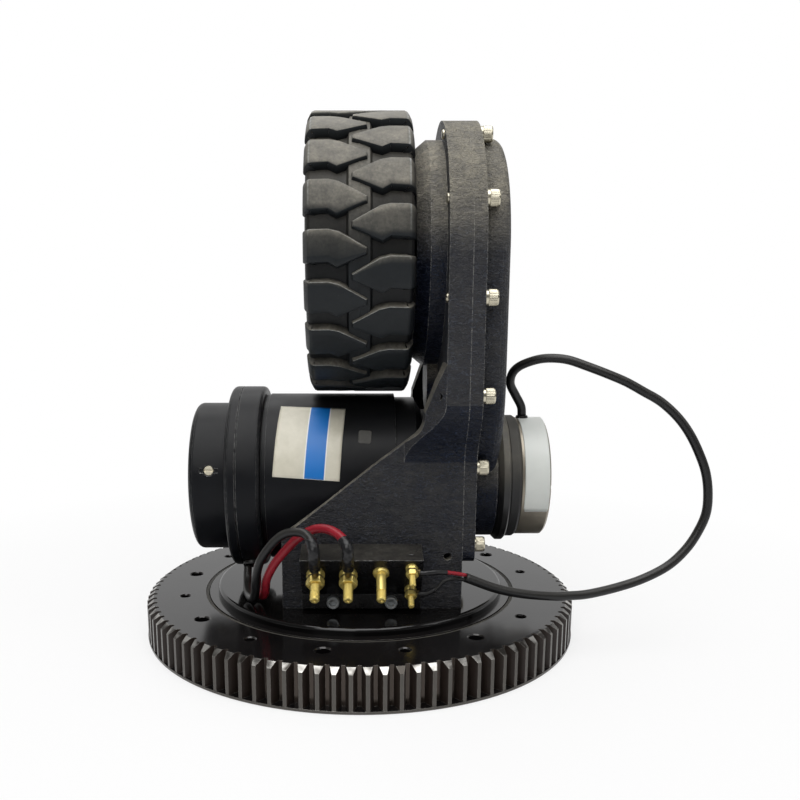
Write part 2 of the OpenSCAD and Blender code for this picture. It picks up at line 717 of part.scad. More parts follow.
// Brass studs for the motor leads. The third one is spare and has a collar instead of nuts.
module power_studs() {
    color([0.78, 0.62, 0.3]) {
        for (x = power_stud_x) on_terminal(x, power_stud_down, 0) stud(power_stud_d, 22);
        on_terminal(power_stud_x[2], power_stud_down, 0) cylinder(h = 2.5, r = power_stud_d / 2 + 2.2);
    }
}

module power_nuts() {
    color([0.76, 0.6, 0.3]) for (x = [power_stud_x[0], power_stud_x[1]])
        for (off = [0, power_nut_h + power_lug_t + 0.1])
            on_terminal(x, power_stud_down, off) hex_nut(power_stud_d, power_nut_h);
}
power_nut_h = 4.5;
power_lug_t = 1.4;
power_barrel_r = 2.2;

module signal_studs() {
    color([0.78, 0.62, 0.3]) for (t = signal_stud_t) on_terminal(signal_stud_x, t, 0) stud(signal_stud_d, 15);
}

module signal_nuts() {
    color([0.76, 0.6, 0.3]) for (t = signal_stud_t) for (off = [0, signal_nut_h + signal_lug_t + 0.1])
        on_terminal(signal_stud_x, t, off) hex_nut(signal_stud_d, signal_nut_h);
}
signal_nut_h = 3.2;
signal_lug_t = 1;
signal_barrel_r = 1.3;

// Cable lug: an eye on the stud, a flat tongue, and a barrel that starts beyond the nuts
module lug(d, t, barrel_r, barrel_len) {
    start = d * 1.04;
    difference() {
        union() {
            cylinder(h = t, r = d * 0.86);
            translate([-barrel_r, 0, 0]) cube([2 * barrel_r, start + 1, t]);
            translate([0, start, barrel_r]) rotate([-90, 0, 0]) cylinder(h = barrel_len, r = barrel_r);
        }
        translate([0, 0, -cut]) cylinder(h = t + 2 * cut, d = d + 2 * seat_gap);
    }
}

module power_lugs() {
    color([0.7, 0.7, 0.68]) for (x = [power_stud_x[0], power_stud_x[1]])
        on_terminal(x, power_stud_down, power_nut_h + 0.05) lug(power_stud_d, power_lug_t, power_barrel_r, 7);
}

module signal_lugs() {
    color([0.7, 0.7, 0.68]) for (t = signal_stud_t) on_terminal(signal_stud_x, t, signal_nut_h + 0.05)
        rotate(-90) lug(signal_stud_d, signal_lug_t, signal_barrel_r, 5);
}

// Steel tube of the motor
module motor_yoke() {
    lip = 1.2;
    color([0.1, 0.1, 0.11]) turned(motor_z, [[yoke_x0, yoke_r - yoke_wall], [yoke_x0, yoke_r - lip],
        [yoke_x0 + 3, yoke_r - lip], [yoke_x0 + 3, yoke_r], [motor_flange_x0, yoke_r],
        [motor_flange_x0, yoke_r - yoke_wall]]);
}

// Brush housing with rounded edges and a fine turned line
module brush_housing() {
    edge = 3;
    x0 = brush_x0;
    x1 = yoke_x0;
    color([0.08, 0.08, 0.09]) difference() {
        turned(motor_z, concat([[x0, brush_r - 8]],
            [for (p = arc([0, 0], edge, 180, 90, 5)) [x0 + edge + p[0], brush_r - edge + p[1]]],
            [[x0 + 7, brush_r], [x0 + 7, brush_r - 0.6], [x0 + 8, brush_r - 0.6], [x0 + 8, brush_r]],
            [for (p = arc([0, 0], edge, 90, 0, 5)) [x1 - edge + p[0], brush_r - edge + p[1]]],
            [[x1, yoke_r - yoke_wall], [x0 + 4, yoke_r - yoke_wall], [x0 + 4, 26], [x0, 26]]));
        lead_hole(4.6);
    }
}

// Rear cap with the rear bearing's seat and a shallow channel for its screws
module end_cap() {
    edge = 4;
    x0 = cap_x0;
    x1 = brush_x0;
    seat = x1 - rear_bearing[2];
    color([0.09, 0.09, 0.1]) difference() {
        turned(motor_z, concat([[x0, 0]],
            [for (p = arc([0, 0], edge, 180, 90, 5)) [x0 + edge + p[0], cap_r - edge + p[1]]],
            [[x1, cap_r], [x1, rear_bearing[1] + seat_gap], [seat, rear_bearing[1] + seat_gap],
            [seat, rear_bearing[0] + 3], [x0 + 5, rear_bearing[0] + 3], [x0 + 5, 0]]));
        for (a = cap_screw_angles) translate([0, 0, motor_z]) rotate([a, 0, 0]) {
            translate([x0 + 14, 0, cap_r - 2]) cylinder(h = 6, r = 3.6);
            translate([x0 + 8, -1.5, cap_r - 0.8]) cube([12, 3, 3]);
            translate([x0 + 14, 0, cap_r - 12]) cylinder(h = 12, r = 2 + seat_gap);
        }
    }
}
cap_screw_angles = [75, -105, 165, -15];

module end_cap_screws() {
    color([0.8, 0.8, 0.8]) for (a = cap_screw_angles) translate([0, 0, motor_z]) rotate([a, 0, 0])
        translate([cap_x0 + 14, 0, cap_r - 2]) difference() {
            union() {
                cylinder(h = 1.8, r = 3.3);
                translate([0, 0, -8]) cylinder(h = 9, r = 2);
            }
            translate([-4, -0.4, 1.2]) cube([8, 0.8, 1]);
        }
}

// Front flange of the motor, with a spigot in the gear case wall
module motor_flange() {
    x0 = motor_flange_x0;
    seat = front_bearing_x0;
    color([0.09, 0.09, 0.1]) difference() {
        turned(motor_z, [[x0 - 5, yoke_r - yoke_wall - seat_gap], [x0, yoke_r - yoke_wall - seat_gap],
            [x0, yoke_r - 2.5], [case_x0 - 15, yoke_r - 2.5], [case_x0 - 10, flange_nose_r],
            [case_x0, flange_nose_r], [case_x0, 21.9], [case_x0 + 4, 21.9],
            [case_x0 + 4, shaft_r + 4], [case_x0, shaft_r + 4], [case_x0, front_bearing[1] + seat_gap],
            [seat, front_bearing[1] + seat_gap], [seat, shaft_r + 3], [x0 + 8, shaft_r + 3],
            [x0 + 8, 36], [x0 - 5, 40]]);
        around_x(motor_z, 4, 45) translate([motor_screw_r, 0, case_x0 - 16])
            cylinder(h = 16 + cut, d = 5 + 2 * seat_gap);
    }
}

module motor_flange_screws() {
    color([0.35, 0.35, 0.37]) around_x(motor_z, 4, 45) translate([motor_screw_r, 0, inner_x0])
        cap_screw(5, case_wall + 14);
}

// Four magnet segments glued inside the yoke
module field_magnets() {
    r1 = yoke_r - yoke_wall - 0.1;
    x0 = yoke_x0 + 16;
    x1 = motor_flange_x0 - 10;
    color([0.25, 0.25, 0.26]) difference() {
        ring_x(motor_z, x0, x1, r1, armature_r + 1.2);
        for (a = [0, 90]) translate([x0 - cut, 0, motor_z]) rotate([a + 45, 0, 0])
            translate([0, -9, -yoke_r]) cube([x1 - x0 + 2 * cut, 18, 2 * yoke_r]);
    }
}

// Insulating plate with four brush boxes
module brush_plate() {
    x1 = yoke_x0 - 1;
    color([0.35, 0.2, 0.12]) difference() {
        union() {
            ring_x(motor_z, x1 - 3, x1, yoke_r - yoke_wall - 0.5, commutator_r + 6);
            around_x(motor_z, 4, 45) translate([commutator_r + 6.5, -6.5, x1 - 14]) cube([16, 13, 12]);
        }
        around_x(motor_z, 4, 45) translate([commutator_r - 1, -5, x1 - 12.5]) cube([28, 10, 9]);
    }
}

module brushes() {
    x1 = yoke_x0 - 1;
    color([0.12, 0.12, 0.12]) difference() {
        around_x(motor_z, 4, 45) translate([commutator_r - 1, -4.9, x1 - 12.4]) cube([16, 9.8, 8.8]);
        disc_x(motor_z, x1 - 20, x1 + 2, commutator_r + 0.08);
    }
}

module motor_bearings() {
    color([0.75, 0.75, 0.77]) {
        bearing(motor_z, brush_x0 - rear_bearing[2], rear_bearing);
        bearing(motor_z, front_bearing_x0, front_bearing);
        bearing(motor_z, pinion_bearing_x0, pinion_bearing);
    }
}

// Motor shaft from the rear bearing through the pinion to the brake
module motor_shaft() {
    color([0.7, 0.7, 0.72]) turned(motor_z, [[brush_x0 - rear_bearing[2] - 1, 0],
        [brush_x0 - rear_bearing[2] - 1, rear_bearing[0]], [brush_x0 + 1, rear_bearing[0]],
        [brush_x0 + 1, 10], [yoke_x0 + 2, 10], [yoke_x0 + 2, 12], [motor_flange_x0 - 2, 12],
        [motor_flange_x0 - 2, shaft_r + 1], [front_bearing_x0 - 0.3, shaft_r + 1],
        [front_bearing_x0 - 0.3, shaft_r], [inner_x0 + 1, shaft_r], [inner_x0 + 1, 6.5],
        [fast_x0 - 1.5, 6.5], [fast_x0 - 1.5, pinion_bearing[0]],
        [brake_disc_x0 + 12, pinion_bearing[0]], [brake_disc_x0 + 12, 0]]);
}

module armature_core() {
    x0 = yoke_x0 + 22;
    x1 = motor_flange_x0 - 16;
    color([0.4, 0.4, 0.42]) difference() {
        ring_x(motor_z, x0, x1, armature_r, 12 + seat_gap);
        around_x(motor_z, armature_slots) translate([armature_r - 14, -1.6, x0 - cut])
            cube([15, 3.2, x1 - x0 + 2 * cut]);
    }
}

// Copper winding: bars in the slots and a ring of end turns on each side
module armature_winding() {
    x0 = yoke_x0 + 22;
    x1 = motor_flange_x0 - 16;
    color([0.6, 0.32, 0.15]) {
        for (x = [x0 - 10, x1]) turned(motor_z, [[x + 0.05, 17], [x + 0.05, armature_r - 5],
            [x + 2, armature_r - 2], [x + 8, armature_r - 2], [x + 9.95, armature_r - 5], [x + 9.95, 17]]);
        around_x(motor_z, armature_slots) translate([armature_r - 13.5, -1.5, x0 - 1])
            cube([11, 3, x1 - x0 + 2]);
    }
}

module commutator() {
    x0 = yoke_x0 - 16;
    x1 = yoke_x0 + 1;
    bars = 24;
    color([0.7, 0.4, 0.2]) difference() {
        ring_x(motor_z, x0, x1, commutator_r, 10 + seat_gap);
        around_x(motor_z, bars) translate([commutator_r - 1, -0.4, x0 - cut])
            cube([2, 0.8, x1 - x0 + 2 * cut]);
    }
}

module motor_pinion() {
    color([0.65, 0.65, 0.67]) difference() {
        gear_x(motor_z, fast_x0 - 1, fast_x1 + 1, fast_module, motor_pinion_teeth, profile_shift, 90);
        disc_x(motor_z, fast_x0 - 2, fast_x1 + 2, pinion_bearing[0] + seat_gap);
    }
}

// Intermediate shaft with the slow pinion cut in one piece
module idler_shaft() {
    journal = idler_bearing[0];
    x0 = idler_left_x0 + 0.5;
    x1 = idler_right_x0 + idler_bearing[2] - 0.5;
    color([0.6, 0.6, 0.62]) union() {
        turned(idler_z, [[x0, 0], [x0, journal], [inner_x0 + 0.5, journal], [inner_x0 + 0.5, 11],
            [fast_x0, 11], [fast_x1, 11], [idler_right_x0 - 0.5, 11], [idler_right_x0 - 0.5, journal],
            [x1, journal], [x1, 0]]);
        gear_x(idler_z, slow_x0, slow_x1 + 0.8, slow_module, idler_pinion_teeth, profile_shift, 90);
    }
}

module idler_gear() {
    web_r = fast_module * idler_gear_teeth / 2 - 10;
    color([0.6, 0.6, 0.62]) difference() {
        gear_x(idler_z, fast_x0, fast_x1, fast_module, idler_gear_teeth, -profile_shift,
            270 + 180 / idler_gear_teeth);
        disc_x(idler_z, fast_x0 - cut, fast_x1 + cut, 11 + seat_gap);
        ring_x(idler_z, fast_x0 + 5, fast_x1 + cut, web_r, 20);
    }
}

module idler_bearings() {
    color([0.75, 0.75, 0.77]) {
        bearing(idler_z, idler_left_x0, idler_bearing);
        bearing(idler_z, idler_right_x0, idler_bearing);
    }
}

// Output gear, keyed on the axle
module output_gear() {
    web_r = slow_module * output_gear_teeth / 2 - 12;
    color([0.6, 0.6, 0.62]) difference() {
        gear_x(wheel_z, slow_x0, slow_x1, slow_module, output_gear_teeth, -profile_shift,
            270 + 180 / output_gear_teeth);
        disc_x(wheel_z, slow_x0 - cut, slow_x1 + cut, axle_r - 2.5 + seat_gap);
        ring_x(wheel_z, slow_x1 - 3, slow_x1 + cut, web_r, axle_r + 9.5);
    }
}

// Axle with its flange and the pilot that centres the rim
module axle() {
    gear_seat = axle_r - 2.5;
    end_r = axle_end_bearing[0];
    color([0.6, 0.6, 0.62]) difference() {
        turned(wheel_z, [[web_x1 - web_t + 1, 0], [web_x1 - web_t + 1, pilot_r - 2],
            [web_x1 - web_t + 3, pilot_r], [web_x1, pilot_r], [web_x1, axle_flange_r - 1.5],
            [web_x1 + 1.5, axle_flange_r],
            [web_x1 + axle_flange_t, axle_flange_r], [web_x1 + axle_flange_t, axle_r + 3],
            [web_x1 + axle_flange_t + 2, axle_r],
            [slow_x0 - 0.2, axle_r], [slow_x0 - 0.2, gear_seat], [slow_x1 + 0.5, gear_seat],
            [slow_x1 + 0.5, 16], [axle_end_x0 - 0.3, 16], [axle_end_x0 - 0.3, end_r],
            [axle_end_x0 + axle_end_bearing[2] - 0.5, end_r], [axle_end_x0 + axle_end_bearing[2] - 0.5, 0]]);
        around_x(wheel_z, wheel_bolt_count) translate([wheel_bolt_r, 0, web_x1 - cut])
            cylinder(h = axle_flange_t + 2 * cut, d = wheel_bolt_d + 2 * seat_gap);
    }
}
axle_flange_r = rim_r - 10;
axle_flange_t = 10;
pilot_r = axle_r + 2.5;
wheel_bolt_r = 41;

module axle_bearings() {
    color([0.75, 0.75, 0.77]) {
        bearing(wheel_z, axle_bearing_x0, axle_bearing);
        bearing(wheel_z, axle_end_x0, axle_end_bearing);
    }
}

// Lip seals on the axle and on the motor shaft
module oil_seals() {
    color([0.25, 0.14, 0.1]) {
        ring_x(wheel_z, hub_x0 + 0.2, hub_x0 + 4.8, axle_r + 12.5 - seat_gap, axle_r + running_gap);
        ring_x(motor_z, case_x0 + 0.3, case_x0 + 3.5, shaft_r + 4 - seat_gap, shaft_r + running_gap);
    }
}

// Rim: a band with a bolted web
module wheel_rim() {
    band = 5;
    half = rim_w / 2;
    web_x0 = web_x1 - web_t;
    color([0.35, 0.35, 0.36]) difference() {
        turned(wheel_z, [[-half, rim_r - band + 2], [-half + 2, rim_r], [half - 2, rim_r],
            [half, rim_r - band + 2], [half, rim_r - band], [web_x1, rim_r - band - 1],
            [web_x1, pilot_r + seat_gap],
            [web_x0, pilot_r + seat_gap], [web_x0, rim_r - 14], [web_x0 - 4, rim_r - band - 2],
            [-half, rim_r - band]]);
        around_x(wheel_z, wheel_bolt_count) translate([wheel_bolt_r, 0, web_x0 - cut])
            cylinder(h = web_t + 2 * cut, d = wheel_bolt_d + 0.6);
    }
}

module wheel_bolts() {
    color([0.7, 0.7, 0.7]) around_x(wheel_z, wheel_bolt_count) translate([wheel_bolt_r, 0, web_x1 - web_t])
        rotate([180, 0, 0]) hex_bolt(wheel_bolt_d, web_t + axle_flange_t - 1);
}

module hex_bolt(d, length) {
    cylinder(h = d * 0.64, r = d * 0.96, $fn = 6);
    translate([0, 0, -length]) cylinder(h = length + 1, d = d);
}

// Section of the tyre between two radii, with a flat crown and sloping shoulders
module tyre_section(r0, r1, half) {
    shoulder = 8;
    crown = crown_w / 2;
    side = [[crown - 1, r1], [crown + 0.6, r1 - 0.6], [crown + 1.4, r1 - 2], [half - 0.6, r1 - shoulder * 0.6],
        [half, r1 - shoulder], [half, r0 + 8], [rim_w / 2, r0]];
    turned(wheel_z, concat([for (i = [len(side) - 1:-1:0]) [-side[i][0], side[i][1]]], side));
}

// One tread lug, drawn as [axial, round the tyre] points, with its point across the middle
module tread_lug(side) {
    outline = [[34, 9.7], [18.2, 8.4], [13.2, 11.4], [-4.2, 3.7], [-4.2, 0.4], [6.2, -5.6],
        [12, -8.8], [18, -10.2], [34, -9.7]];
    translate([0, 0, tyre_r - tread_depth - 4]) linear_extrude(tread_depth + 6)
        polygon([for (p = outline) [side * p[0], p[1] * 19 / lug_count * tyre_r / 90]]);
}

// Tyre: a carcass, a low rib round the middle and two rows of arrow-shaped lugs
module tyre() {
    color([0.13, 0.13, 0.13]) difference() {
        union() {
            tyre_section(rim_r, tyre_r - tread_depth, tyre_w / 2 - 1);
            disc_x(wheel_z, -6, 6, tyre_r - tread_depth * 0.45);
            intersection() {
                tyre_section(rim_r, tyre_r, tyre_w / 2);
                for (side = [-1, 1]) for (i = [0:lug_count - 1]) translate([0, 0, wheel_z])
                    rotate([lug_phase + (i - (side + 1) / 4) * 360 / lug_count, 0, 0]) tread_lug(side);
            }
        }
        disc_x(wheel_z, -tyre_w, tyre_w, rim_r + seat_gap);
    }
}

// Brake mounting flange, which is also the fixed friction face
module brake_flange() {
    color([0.12, 0.12, 0.12]) difference() {
        turned(motor_z, [[brake_boss_x1, 9], [brake_boss_x1, brake_flange_r - 3],
            [brake_boss_x1 + 3, brake_flange_r], [brake_flange_x1 - 1, brake_flange_r],
            [brake_flange_x1, brake_flange_r - 1], [brake_flange_x1, 9]]);
        around_x(motor_z, 3, 30) translate([brake_screw_r, 0, brake_boss_x1 - cut])
            cylinder(h = brake_flange_t + 2 * cut, d = brake_screw_d + 2 * seat_gap);
    }
}

module brake_dust_ring() {
    color([0.06, 0.06, 0.06]) turned(motor_z, [[brake_flange_x1, magnet_r - 0.8],
        [brake_flange_x1, dust_ring_r - 0.6], [brake_flange_x1 + 1, dust_ring_r],
        [dust_ring_x1 - 1.5, dust_ring_r], [dust_ring_x1, dust_ring_r - 1], [dust_ring_x1, magnet_r - 0.8]]);
}

// Square hub on the motor shaft, which drives the friction disc
module brake_hub() {
    color([0.65, 0.65, 0.66]) difference() {
        translate([brake_disc_x0 - 0.1, -brake_hub_half, motor_z - brake_hub_half])
            cube([brake_disc_t + 3, 2 * brake_hub_half, 2 * brake_hub_half]);
        disc_x(motor_z, brake_disc_x0 - 1, brake_disc_x0 + brake_disc_t + 4, pinion_bearing[0] + seat_gap);
    }
}

module brake_disc() {
    hole = brake_hub_half + 0.05;
    color([0.3, 0.28, 0.25]) difference() {
        disc_x(motor_z, brake_disc_x0, brake_disc_x0 + brake_disc_t, brake_screw_r - 3.5);
        translate([brake_disc_x0 - cut, -hole, motor_z - hole])
            cube([brake_disc_t + 2 * cut, 2 * hole, 2 * hole]);
    }
}

// Armature plate: springs press it on the friction disc and the magnet pulls it off
module brake_armature_plate() {
    color([0.5, 0.5, 0.5]) difference() {
        ring_x(motor_z, armature_plate_x0, armature_plate_x1, magnet_r - 1.4, 14);
        around_x(motor_z, 3, 30) translate([brake_screw_r, 0, armature_plate_x0 - cut])
            cylinder(h = 6, r = 2.6);
    }
}

// Brake magnet body with its end recess
module brake_magnet() {
    x0 = dust_ring_x1;
    x1 = magnet_x1;
    color([0.51, 0.49, 0.45]) difference() {
        turned(motor_z, [[x0, 12], [x0, magnet_r - 0.5], [x0 + 0.5, magnet_r], [x1 - 1.5, magnet_r],
            [x1, magnet_r - 1.5], [x1, 28], [x1 - 1, 27], [x1 - 1, 12]]);
        around_x(motor_z, 3, 30) translate([brake_screw_r, 0, 0]) {
            translate([0, 0, x0 - cut]) cylinder(h = magnet_len + 2 * cut, r = 2.2);
            translate([0, 0, x1 - 5]) cylinder(h = 5 + cut, r = 3.8);
        }
        translate([gland_x, 0, motor_z + magnet_r - 6]) cylinder(h = 10, r = 4.2);
    }
}
gland_x = dust_ring_x1 + 5.5;

module brake_screws() {
    color([0.6, 0.6, 0.6]) around_x(motor_z, 3, 30)
        translate([brake_screw_r, 0, magnet_x1 - 5])
            cap_screw(brake_screw_d, magnet_x1 - 5 - brake_boss_x1 + brake_screw_grip - 1.5);
}

// Rubber gland where the brake cable leaves the magnet
module cable_gland() {
    color([0.05, 0.05, 0.05]) translate([gland_x, 0, motor_z + magnet_r]) rotate_extrude()
        polygon([[0, -5], [4.15, -5], [4.15, 0.5], [3.9, 1.5], [0, 1.5]]);
}

// Rubber grommet where the motor leads leave the brush housing
module lead_hole(r) {
    translate([lead_x, 0, motor_z]) rotate([-lead_angle, 0, 0]) translate([0, 0, yoke_r - 6])
        cylinder(h = 14, r = r);
}
lead_x = yoke_x0 - 9;
lead_angle = -150;

module lead_grommet() {
    color([0.05, 0.05, 0.05]) translate([lead_x, 0, motor_z]) rotate([-lead_angle, 0, 0])
        translate([0, 0, brush_r]) rotate_extrude()
            polygon([[0, -5], [4.55, -5], [4.55, 0], [6.6, 0], [6.6, 1.6], [6.2, 2.4], [0, 2.4]]);
}

// Routes of the cords, chosen by hand as [x, y, z] points along their middle
black_lead_route = [[-76.3, -32.5, 50.7], [-76.3, -36.9, 43], [-75.5, -45, 38.5], [-72.5, -56, 37],
    [-68.5, -68, 40], [-66, -76, 48], [-65, -80, 57], [-62, -83, 69], [-55, -85, 80], [-48, -87, 87],
    [-41, -89.5, 90], [-34, -93, 90.3], [-29.5, -98, 87.5], [-27.6, -101.6, 82.5], [-27.3, -101.3, 76.5],
    [-27.3, -96.6, 69.6]];
red_lead_route = [[-69.7, -32.5, 50.7], [-69.7, -36.9, 43], [-68.5, -45.5, 38.8], [-65.5, -56, 38],
    [-62, -66, 41.5], [-60, -73, 48.5], [-58.5, -77, 56.5], [-53, -79, 67], [-45, -80, 77], [-38, -81.5, 84],
    [-28, -84.5, 90.5], [-18, -90, 91.5], [-10, -97, 88], [-7.3, -101.6, 83], [-7, -101.3, 76.5],
    [-7, -96.6, 69.6]];
brake_cable_route = [[112.8, 0, 149.6], [112, -0.2, 156], [107.5, -2, 164], [103.5, -5, 171], [103, -8, 177],
    [105, -11, 182], [110, -14, 186], [119, -18, 189.5], [128, -21, 190.5], [138, -24, 189.5],
    [150, -27, 185.5], [162, -30, 181], [174, -32, 176], [185, -34, 170], [197, -36, 163], [208, -38, 153],
    [216, -40, 142], [222.5, -42, 129], [227, -43, 117], [229, -44, 104], [228.5, -45, 91], [224, -46, 79],
    [216, -48, 67], [204, -50, 56], [187, -53, 48], [169, -56, 43], [150, -60, 40], [137, -62, 39.5],
    [125, -64, 40], [105, -68, 43], [87, -72, 48], [67, -77.5, 57]];
red_core_route = [[67, -77.5, 58.6], [61, -80, 60.5], [54, -84.5, 62.8], [48, -89, 64.5], [41.5, -90.6, 64.3]];
black_core_route = [[67, -77.5, 55.4], [60, -77.8, 56.5], [53, -78, 54.5], [48, -78.6, 49.5],
    [41.5, -78.5, 46.6]];
lead_d = 5.6;
brake_cable_d = 6;
core_d = 2.4;

// Tube along a route: one ring of points for each route point, joined by triangles
function unit(v) = v / norm(v);
function along(route, i) = unit(route[min(i + 1, len(route) - 1)] - route[max(i - 1, 0)]);
function ring_points(route, i, r, sides, side_hint) =
    let (t = along(route, i), a = unit(cross(t, side_hint)), b = cross(t, a))
    [for (k = [0:sides - 1]) route[i] + r * (cos(k * 360 / sides) * a + sin(k * 360 / sides) * b)];
module cord(route, d, sides, side_hint) {
    n = len(route);
    points = [for (i = [0:n - 1]) each ring_points(route, i, d / 2, sides, side_hint)];
    walls = [for (i = [0:n - 2]) for (k = [0:sides - 1])
        let (a = i * sides, b = a + sides, j = (k + 1) % sides)
        each [[a + k, b + k, b + j], [a + k, b + j, a + j]]];
    ends = [[for (k = [0:sides - 1]) k], [for (k = [sides - 1:-1:0]) (n - 1) * sides + k]];
    polyhedron(points, concat(walls, ends), convexity = 6);
}

module motor_lead_black() {
    color([0.06, 0.06, 0.06]) cord(black_lead_route, lead_d, 10, [1, 1, 0]);
}

module motor_lead_red() {
    color([0.67, 0.2, 0.24]) cord(red_lead_route, lead_d, 10, [1, 1, 0]);
}

module brake_cable() {
    color([0.05, 0.05, 0.05]) cord(brake_cable_route, brake_cable_d, 10, [0, 1, 0]);
}

module brake_cores() {
    color([0.6, 0.15, 0.18]) cord(red_core_route, core_d, 8, [0, 0, 1]);
    color([0.06, 0.06, 0.06]) cord(black_core_route, core_d, 8, [0, 1, 0]);
}

// Heat-shrink sleeves over the power lugs' barrels and the ends of the leads
module lead_sleeves() {
    sleeve_len = 15;
    color([0.05, 0.05, 0.05]) for (x = [power_stud_x[0], power_stud_x[1]])
        on_terminal(x, power_stud_down, power_nut_h + 0.05 + power_barrel_r)
            translate([0, power_stud_d * 1.04 + 1, 0]) rotate([-90, 0, 0]) difference() {
                cylinder(h = sleeve_len, r = lead_d / 2 + 0.8);
                translate([0, 0, -cut]) cylinder(h = sleeve_len + 2 * cut, r = lead_d / 2 + 0.05);
            }
}

ring_gear();
ring_seals();
race_balls();
ball_spacers();
inner_ring();
race_plug();
base_disc();
disc_screws();
block_screws();
housing();
gear_cover();
cover_screws();
cover_washers();
terminal_block();
terminal_screws();
power_studs();
power_nuts();
signal_studs();
signal_nuts();
power_lugs();
signal_lugs();
lead_sleeves();
motor_yoke();
brush_housing();
end_cap();
end_cap_screws();
motor_flange();
motor_flange_screws();
field_magnets();
brush_plate();
brushes();
motor_bearings();
motor_shaft();
armature_core();
armature_winding();
commutator();
motor_pinion();
brake_hub();
brake_disc();
idler_shaft();
idler_gear();
idler_bearings();
output_gear();
axle();
axle_bearings();
oil_seals();
wheel_rim();
tyre();
wheel_bolts();
brake_flange();
brake_dust_ring();
brake_armature_plate();
brake_magnet();
brake_screws();
cable_gland();
lead_grommet();
motor_lead_red();
motor_lead_black();
brake_cable();
brake_cores();
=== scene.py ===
# %% [markdown]
# # A motorized drive wheel
#
# The part stands upside down on its slewing ring, as it does in the photograph: a rubber
# tyre on a cast gear case, a DC motor beside it and a small brake on the other side.
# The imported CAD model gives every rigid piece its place. This script adds the finishes, and
# makes anew the pieces whose looks need more than the CAD solids hold.

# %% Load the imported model
import json
import math

import bmesh
import bpy
import numpy as np
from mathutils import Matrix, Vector


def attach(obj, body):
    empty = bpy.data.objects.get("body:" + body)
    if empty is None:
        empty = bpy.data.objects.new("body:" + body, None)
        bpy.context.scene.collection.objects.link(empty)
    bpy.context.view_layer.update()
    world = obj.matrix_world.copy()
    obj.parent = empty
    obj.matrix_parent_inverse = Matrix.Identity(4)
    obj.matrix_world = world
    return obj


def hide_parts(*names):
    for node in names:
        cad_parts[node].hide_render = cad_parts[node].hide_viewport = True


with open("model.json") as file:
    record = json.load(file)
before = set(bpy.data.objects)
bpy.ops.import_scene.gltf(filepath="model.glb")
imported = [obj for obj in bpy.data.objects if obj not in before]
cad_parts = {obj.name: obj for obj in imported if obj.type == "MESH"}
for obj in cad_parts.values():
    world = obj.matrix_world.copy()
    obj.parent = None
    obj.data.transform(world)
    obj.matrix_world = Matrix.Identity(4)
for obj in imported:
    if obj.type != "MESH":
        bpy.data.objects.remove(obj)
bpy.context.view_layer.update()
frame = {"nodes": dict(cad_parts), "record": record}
nodes = frame["nodes"]
scene = bpy.context.scene
MM = 0.001

# %% [markdown]
# ## The camera
#
# The photograph was taken from in front of the unit, a little above the motor. A camera
# could be aimed by eye, but known sizes in the picture, such as the ring's diameter and the
# wheel's height, fix its place, its tilt and its focal length, and those are written here.

# %% Camera
PICTURE = 800
EYE = (0.5, -601.6, 231.5)
TILT = math.radians(11.96)
FOCAL_PX = 869.83
CENTRE_PX = (360.39, 479.24)


def make_camera():
    """Pinhole camera that looks along +Y and down by TILT, with the picture's own centre."""
    lens = bpy.data.cameras.new("camera")
    lens.sensor_width = 36
    lens.lens = lens.sensor_width * FOCAL_PX / PICTURE
    lens.shift_x = (PICTURE / 2 - CENTRE_PX[0]) / PICTURE
    lens.shift_y = (CENTRE_PX[1] - PICTURE / 2) / PICTURE
    lens.clip_start, lens.clip_end = 0.02, 50
    camera = bpy.data.objects.new("camera", lens)
    camera.location = np.array(EYE) * MM
    camera.rotation_euler = (math.pi / 2 - TILT, 0, 0)
    scene.collection.objects.link(camera)
    scene.camera = camera


make_camera()

# %% [markdown]
# ## Meshes from arrays
#
# Every new piece is a grid of points that numpy works out at once. The helpers below number
# the grid's faces, close its seams and poles and hand the arrays to Blender in one go, which
# is far quicker than adding vertices one by one.

# %% Grids into meshes


def grid_faces(rows, columns, close_rows=False, close_columns=False):
    """Quads of a grid as corner numbers; a closed side joins its last line to its first."""
    r = np.arange(rows if close_rows else rows - 1)
    c = np.arange(columns if close_columns else columns - 1)
    i, j = np.meshgrid(r, c, indexing="ij")
    i2, j2 = (i + 1) % rows, (j + 1) % columns
    corners = [i * columns + j, i2 * columns + j, i2 * columns + j2, i * columns + j2]
    return np.stack(corners, -1).reshape(-1, 4)


def put_mesh(name, points, faces):
    """Object called name from points in metres and an (m, 3 or 4) array of corners."""
    mesh = bpy.data.meshes.new(name)
    points = np.reshape(points, (-1, 3))
    size = faces.shape[1]
    mesh.vertices.add(len(points))
    mesh.vertices.foreach_set("co", points.astype(np.float32).ravel())
    mesh.loops.add(faces.size)
    mesh.loops.foreach_set("vertex_index", faces.astype(np.int32).ravel())
    mesh.polygons.add(len(faces))
    mesh.polygons.foreach_set("loop_start", np.arange(0, faces.size, size, dtype=np.int32))
    mesh.polygons.foreach_set("use_smooth", np.ones(len(faces), bool))
    mesh.update(calc_edges=True)
    mesh.validate()
    piece = bpy.data.objects.new(name, mesh)
    scene.collection.objects.link(piece)
    return piece


def joined(parts):
    """One pair of points and faces from many; each part's faces count on from the last's."""
    shells, faces, base = [], [], 0
    for points, quads in parts:
        shells.append(points)
        faces.append(quads + base)
        base += len(points)
    return np.vstack(shells), np.vstack(faces)


def weld(piece):
    """Joins points that coincide, such as a row with no radius, so that a pole is closed."""
    shape = bmesh.new()
    shape.from_mesh(piece.data)
    bmesh.ops.remove_doubles(shape, verts=shape.verts, dist=0.001 * MM)
    shape.to_mesh(piece.data)
    shape.free()
    return piece


# %% Turned surfaces
ACROSS, UP = (1, 0, 0), (0, 0, 1)


